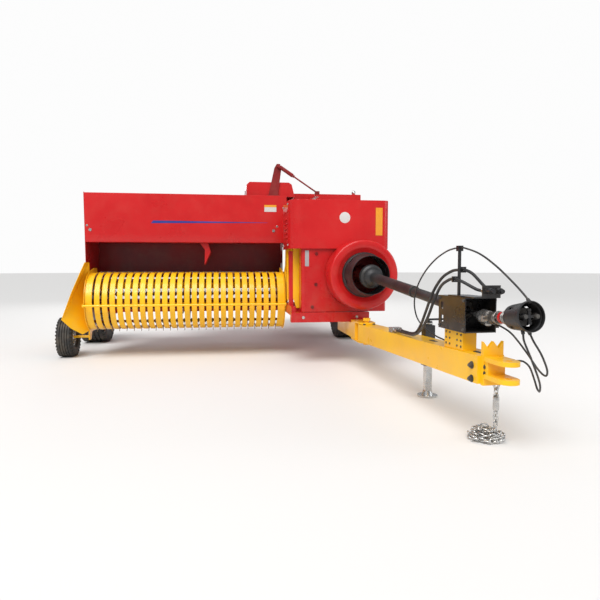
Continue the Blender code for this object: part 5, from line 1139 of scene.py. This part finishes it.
def make_twine_box_fittings():
    """Pressed ribs, edge bolts, rubber latches and a blank plate on the twine box."""
    shape = bmesh.new()
    for z in (1.06, 1.18, 1.30):
        add_plate(shape, (-0.045, BOX_RIGHT, z), X, Z, 0.62, 0.026, 0.013, 0.005)
        add_plate(shape, (BOX_FRONT, -0.92, z), Y, Z, 0.86, 0.026, 0.013, 0.005)
        add_plate(shape, (BOX_BACK, -0.92, z), -Y, Z, 0.86, 0.026, 0.013, 0.005)
    finish(shape, "twine_box_ribs", "chassis", RED, "red_paint", corner=0.002)
    shape = bmesh.new()
    for y in (-0.60, -0.95, -1.25):
        add_plate(shape, (-0.045, y, 1.4266), X, Y, 0.60, 0.024, 0.012, 0.004)
    finish(shape, "twine_lid_ribs", "twine_box_lid", RED, "red_paint", corner=0.0015)
    shape = bmesh.new()
    for x in (-0.38, -0.21, -0.045, 0.12, 0.29):
        add_bolt(shape, (x, -1.4203, 0.985), -Y, 0.012)
    for y in (-0.50, -0.78, -1.06, -1.36):
        add_bolt(shape, (0.3303, y, 0.985), X, 0.012)
        add_bolt(shape, (-0.4203, y, 0.985), -X, 0.012)
    finish(shape, "twine_box_bolts", "chassis", ZINC, "zinc_plated")
    shape = bmesh.new()
    for x in (-0.27, 0.18):
        add_plate(shape, (x, -1.4204, 1.352), X, Z, 0.030, 0.068, 0.008, 0.007)
        add_round(shape, (x - 0.013, -1.4300, 1.330), X, 0.006, 0.026, 12)
    finish(shape, "lid_latch_straps", "chassis", RUBBER, "black_plastic", corner=0.001)
    shape = bmesh.new()
    for x in (-0.27, 0.18):
        add_plate(shape, (x, -1.4255, 1.408), X, Z, 0.036, 0.022, 0.004, 0.0060)
    finish(shape, "lid_latch_hooks", "twine_box_lid", ZINC, "zinc_plated", corner=0.001)
    shape = bmesh.new()
    add_plate(shape, (0.20, BOX_RIGHT, 1.24), X, Z, 0.090, 0.060, 0.004, 0.0055)
    finish(shape, "twine_box_blank_plate", "chassis", WHITE_FILM, "red_paint")


def make_hood_fittings():
    """Pressed ribs and the grip on the knotter hood."""
    shape = bmesh.new()
    add_plate(shape, (0.130, 0.0, 1.4351), X, Y, 0.34, 0.40, 0.030, 0.005)
    for y in (-0.235, 0.235):
        add_plate(shape, (0.130, y, 1.4351), X, Y, 0.34, 0.020, 0.010, 0.004)
    add_plate(shape, (-0.1251, 0.0, 1.335), -Y, Z, 0.34, 0.060, 0.018, 0.004)
    finish(shape, "knotter_hood_ribs", "knotter_hood", RED, "red_paint", corner=0.002)
    grip = [(-0.124, -0.060, 1.335), (-0.140, -0.060, 1.335), (-0.150, -0.052, 1.335),
            (-0.153, -0.040, 1.335), (-0.153, 0.040, 1.335), (-0.150, 0.052, 1.335),
            (-0.140, 0.060, 1.335), (-0.124, 0.060, 1.335)]
    wires("knotter_hood_grip", [grip], 0.0055, "knotter_hood", ZINC, "zinc_plated", fine=3)


def make_knotter_details():
    """Teeth on the two knotter discs, their twine holders, tension springs and cams."""
    shape = bmesh.new()
    for side in (-1, 1):
        y = side * 0.120
        for place, out in ring_points((0.300, y - 0.0225, 1.305), (0, 1, 0), 0.100, 30):
            across = out.cross(Y)
            turn = Matrix((across, Y, out)).transposed().to_4x4()
            size = Vector((0.0035, 0.011, 0.0045))
            add_block(shape, place - size, place + size, turn)
        add_turned(
            shape, [(0.0185, -0.006), (0.040, -0.004), (0.040, 0.004), (0.0185, 0.006)],
            (0.300, y + 0.040, 1.305), (0, 1, 0), 28, closed=True,
        )
        add_turned(
            shape, [(0.0001, 0.0), (0.030, 0.0), (0.034, 0.004), (0.034, 0.012), (0.030, 0.016),
                    (0.0001, 0.016)],
            (0.120, y + 0.032, 1.262), (0, 1, 0), 24,
        )
    finish(shape, "knotter_teeth_and_cams", "chassis", CAST, "cast_iron")
    runs = [
        coil((0.060, side * 0.120 + 0.045, 1.225), (0.150, side * 0.120 + 0.045, 1.285), 0.009, 12)
        for side in (-1, 1)
    ]
    wires("knotter_springs", runs, 0.0018, "chassis", STEEL, "bare_steel")


def make_chamber_fittings():
    """Ribs, edge bolts and springs on and round the bale chamber."""
    side = CHAMBER_SIDE
    shape = bmesh.new()
    for z in (0.845, 0.935, 1.025):
        add_plate(shape, (-0.62, side - 0.0001, z), -X, Z, 0.86, 0.024, 0.012, 0.005)
        add_plate(shape, (0.62, side - 0.0001, z), -X, Z, 0.42, 0.024, 0.012, 0.005)
        add_plate(shape, (-0.82, -side + 0.0001, z), X, Z, 0.52, 0.024, 0.012, 0.005)
        add_plate(shape, (1.30, side - 0.0001, z), -X, Z, 0.34, 0.024, 0.012, 0.005)
    for y in (-0.15, 0.0, 0.15):
        add_plate(shape, (-0.55, y, 1.1199), X, Y, 0.74, 0.022, 0.011, 0.005)
    finish(shape, "chamber_ribs", "chassis", RED, "red_paint", corner=0.002)
    shape = bmesh.new()
    for step in range(13):
        x = -1.26 + step * 0.225
        add_bolt(shape, (x, side, 0.780), Y, 0.015)
        add_bolt(shape, (x, side, 1.092), Y, 0.015)
    for x in (-1.26, -1.02, -0.80, -0.60):
        add_bolt(shape, (x, -side, 0.780), -Y, 0.015)
        add_bolt(shape, (x, -side, 1.092), -Y, 0.015)
    finish(shape, "chamber_bolts", "chassis", ZINC, "zinc_plated")
    runs = [
        coil((TENSION_X, y, 1.176), (TENSION_X, y, 1.288), 0.0262, 8, 20)
        for y in (-TENSION_Y, TENSION_Y)
    ]
    wires("bale_tension_springs", runs, 0.0042, "chassis", STEEL, "bare_steel", fine=2)
    shape = bmesh.new()
    for sign in (-1, 1):
        y = sign * TENSION_Y
        add_turned(
            shape, [(0.0001, 0.0), (0.0128, 0.0), (0.0140, 0.006), (0.0120, 0.030), (0.0120, 0.052),
                    (0.0138, 0.070), (0.0110, 0.0785), (0.0001, 0.0790)],
            (-1.02, y, 1.3362), (0, 0, 1), 20,
        )
    finish(shape, "tension_crank_grips", "chassis", PLASTIC, "black_plastic")
    shape = bmesh.new()
    for sign in (-1, 1):
        add_turned(
            shape, [(0.0122, -0.004), (0.030, -0.004), (0.032, 0.0), (0.030, 0.004), (0.0122, 0.004)],
            (TENSION_X, sign * TENSION_Y, 1.292), (0, 0, 1), 24, closed=True,
        )
        for z in (0.660, 1.302):
            add_round(shape, (TENSION_X, sign * TENSION_Y, z), Z, 0.019, 0.014, 6)
    add_bolt(shape, (1.790, -0.20, 0.411), X, 0.018)
    add_bolt(shape, (1.790, 0.27, 0.411), X, 0.018)
    finish(shape, "tension_washers_and_nuts", "chassis", ZINC, "zinc_plated")


def make_housing_fittings():
    """Ribs, bolts and louvres on the feeder housing and the front shield."""
    shape = bmesh.new()
    for x in (0.50, 0.62, 0.78):
        add_plate(shape, (x, -1.42, 1.5451), X, Y, 0.024, 1.38, 0.012, 0.005)
    for z in (0.95, 1.42):
        add_plate(shape, (0.3999, -1.80, z), -Y, Z, 0.62, 0.026, 0.013, 0.005)
    add_plate(shape, (0.68, FEEDER_RIGHT, 1.36), X, Z, 0.44, 0.026, 0.013, 0.005)
    add_plate(shape, (0.68, FEEDER_RIGHT, 1.18), X, Z, 0.44, 0.026, 0.013, 0.005)
    add_plate(shape, (1.52, SHIELD_RIGHT, 1.330), X, Z, 0.30, 0.024, 0.012, 0.005)
    for step in range(5):
        add_plate(shape, (1.52, SHIELD_RIGHT, 1.10 + step * 0.040), X, Z, 0.20, 0.016, 0.007, 0.008)
        add_plate(shape, (1.52, SHIELD_LEFT, 1.10 + step * 0.040), -X, Z, 0.20, 0.016, 0.007, 0.008)
    add_plate(shape, (1.52, SHIELD_LEFT, 1.340), -X, Z, 0.30, 0.024, 0.012, 0.005)
    for y in (-0.18, 0.115, 0.41):
        add_plate(shape, (1.54, y, 1.4151), X, Y, 0.36, 0.024, 0.012, 0.004)
    finish(shape, "housing_ribs_and_louvres", "chassis", RED, "red_paint", corner=0.002)
    shape = bmesh.new()
    for x in (0.42, 0.60, 0.78, 0.94):
        add_bolt(shape, (x, -2.1752, 1.505), -Y, 0.014)
    for z in (0.82, 1.00, 1.28):
        add_bolt(shape, (0.42, -2.1752, z), -Y, 0.014)
    for x in (1.34, 1.68):
        for z in (1.035, 1.385):
            add_bolt(shape, (x, -0.3202, z), -Y, 0.014)
            add_bolt(shape, (x, 0.5502, z), Y, 0.014)
    finish(shape, "housing_bolts", "chassis", ZINC, "zinc_plated")


def make_axle_clamps():
    """U-bolts that hold the axle, with their nuts."""
    runs = []
    for y in (-1.34, -1.26, -0.58, -0.50, 0.300, 0.370):
        runs.append([
            (-0.066, y, 0.452), (-0.066, y, 0.330), (-0.062, y, 0.316), (-0.054, y, 0.309),
            (0.054, y, 0.309), (0.062, y, 0.316), (0.066, y, 0.330), (0.066, y, 0.452),
        ])
    wires("axle_clamps", runs, 0.006, "chassis", ZINC, "zinc_plated", fine=2)
    shape = bmesh.new()
    for run in runs:
        for end in (run[0], run[-1]):
            add_round(shape, (end[0], end[1], 0.436), Z, 0.011, 0.010, 6)
    finish(shape, "axle_clamp_nuts", "chassis", ZINC, "zinc_plated")


def make_tongue_fittings():
    """Hose ferrules, box bolts and bearing, column bolts, jack pin and pivot bolts on the tongue."""
    shape = bmesh.new()
    for route in HOSES.values():
        points = smooth_route(route, 0.009)
        for first, second in ((points[0], points[3]), (points[-1], points[-4])):
            way = (second - first).normalized()
            add_round(shape, first - way * 0.001, way, 0.0108, 0.026, 20, 0.0102)
            add_round(shape, first - way * 0.001, way, 0.0125, 0.008, 6)
    finish(shape, "hose_ferrules", "tongue", ZINC, "zinc_plated", place=TONGUE)
    shape = bmesh.new()
    for x in (3.580, 3.835):
        for z in (0.540, 0.685):
            add_bolt(shape, (x, 0.1899, z), -Y, 0.013)
            if z > 0.6:
                add_bolt(shape, (x, 0.3601, z), Y, 0.013)
    line = REAR_JOINT.z - 0.175 * (3.690 - REAR_JOINT.x) / 1.820
    add_turned(
        shape, [(0.0245, 0.0), (0.046, 0.0), (0.050, 0.004), (0.050, 0.012), (0.040, 0.020),
                (0.030, 0.026), (0.0245, 0.026)],
        (3.6802, 0.275, line), (1, 0, 0), 36, closed=True,
    )
    for place, _ in ring_points((3.692, 0.275, line), (1, 0, 0), 0.044, 4, 0.785):
        add_bolt(shape, place, X, 0.010)
    finish(shape, "support_box_bearing", "tongue", CAST, "cast_iron", place=TONGUE)
    shape = bmesh.new()
    for x in (3.600, 3.640, 3.720, 3.760):
        for z in (0.445, 0.475, 0.505):
            add_round(shape, (x, 0.2199, z), -Y, 0.0065, 0.003, 14, 0.005)
    for x, y in ((2.160, 0.235), (2.160, 0.315)):
        add_bolt(shape, (x, y, 0.3808), Z, 0.020)
    finish(shape, "column_bolts", "tongue", CAST, "bare_steel", place=TONGUE)
    shape = bmesh.new()
    add_round(shape, (3.000, 0.350, 0.340), -Y, 0.008, 0.012, 16)
    add_round(shape, (2.958, 0.394, 0.335), -X, 0.009, 0.022, 16)
    add_turned(
        shape, [(0.0262, -0.004), (0.0300, -0.003), (0.0300, 0.003), (0.0262, 0.004)],
        (3.000, 0.394, 0.482), (0, 0, 1), 28, closed=True,
    )
    finish(shape, "jack_pins", "tongue", ZINC, "zinc_plated", place=TONGUE)
    slots = bmesh.new()
    for x in (3.330, 3.840):
        z = 0.380 + 0.050 * (x - 2.100) / 1.850
        add_plate(slots, (x, 0.275, z + 0.0002), X, Y, 0.085, 0.026, 0.012, 0.0012)
    finish(slots, "tongue_slot_plugs", "tongue", PLASTIC, "black_plastic", place=TONGUE)


def make_beam_ball_and_link():
    """Ball on the end of the top beam, and the sleeve on the spring link."""
    shape = bmesh.new()
    add_turned(
        shape, [(0.0001, 0.0222), (0.0085, 0.0205), (0.0157, 0.0157), (0.0205, 0.0085), (0.0222, 0.0),
                (0.0205, -0.0085), (0.0157, -0.0157), (0.0120, -0.0200), (0.0120, -0.0280),
                (0.0001, -0.0280)],
        (0.620, 0.515, 1.636), (0, 0, 1), 32,
    )
    finish(shape, "beam_ball", "chassis", ZINC, "zinc_plated")
    shape = bmesh.new()
    start, end = Vector((0.914, -0.322, 1.846)), Vector((0.914, 0.065, 1.590))
    way = (end - start).normalized()
    add_round(shape, start + way * 0.055, way, 0.0125, 0.130, 20)
    add_round(shape, start + way * 0.050, way, 0.0150, 0.008, 20)
    add_round(shape, start + way * 0.180, way, 0.0150, 0.008, 20)
    finish(shape, "link_sleeve", "chassis", DARK_RED, "worn_red_paint", corner=0.001)


make_camera()
make_cords()
make_studio()
dress_nodes()
make_wheels()
make_bands()
make_reel()
make_guard_ring()
make_bell()
make_guard_tube()
make_front_guard()
make_joint_fittings()
make_chain()
make_markings()
make_bolts()
make_side_guard()
make_beam_ball_and_link()
make_twine_box_fittings()
make_hood_fittings()
make_knotter_details()
make_chamber_fittings()
make_housing_fittings()
make_axle_clamps()
make_tongue_fittings()
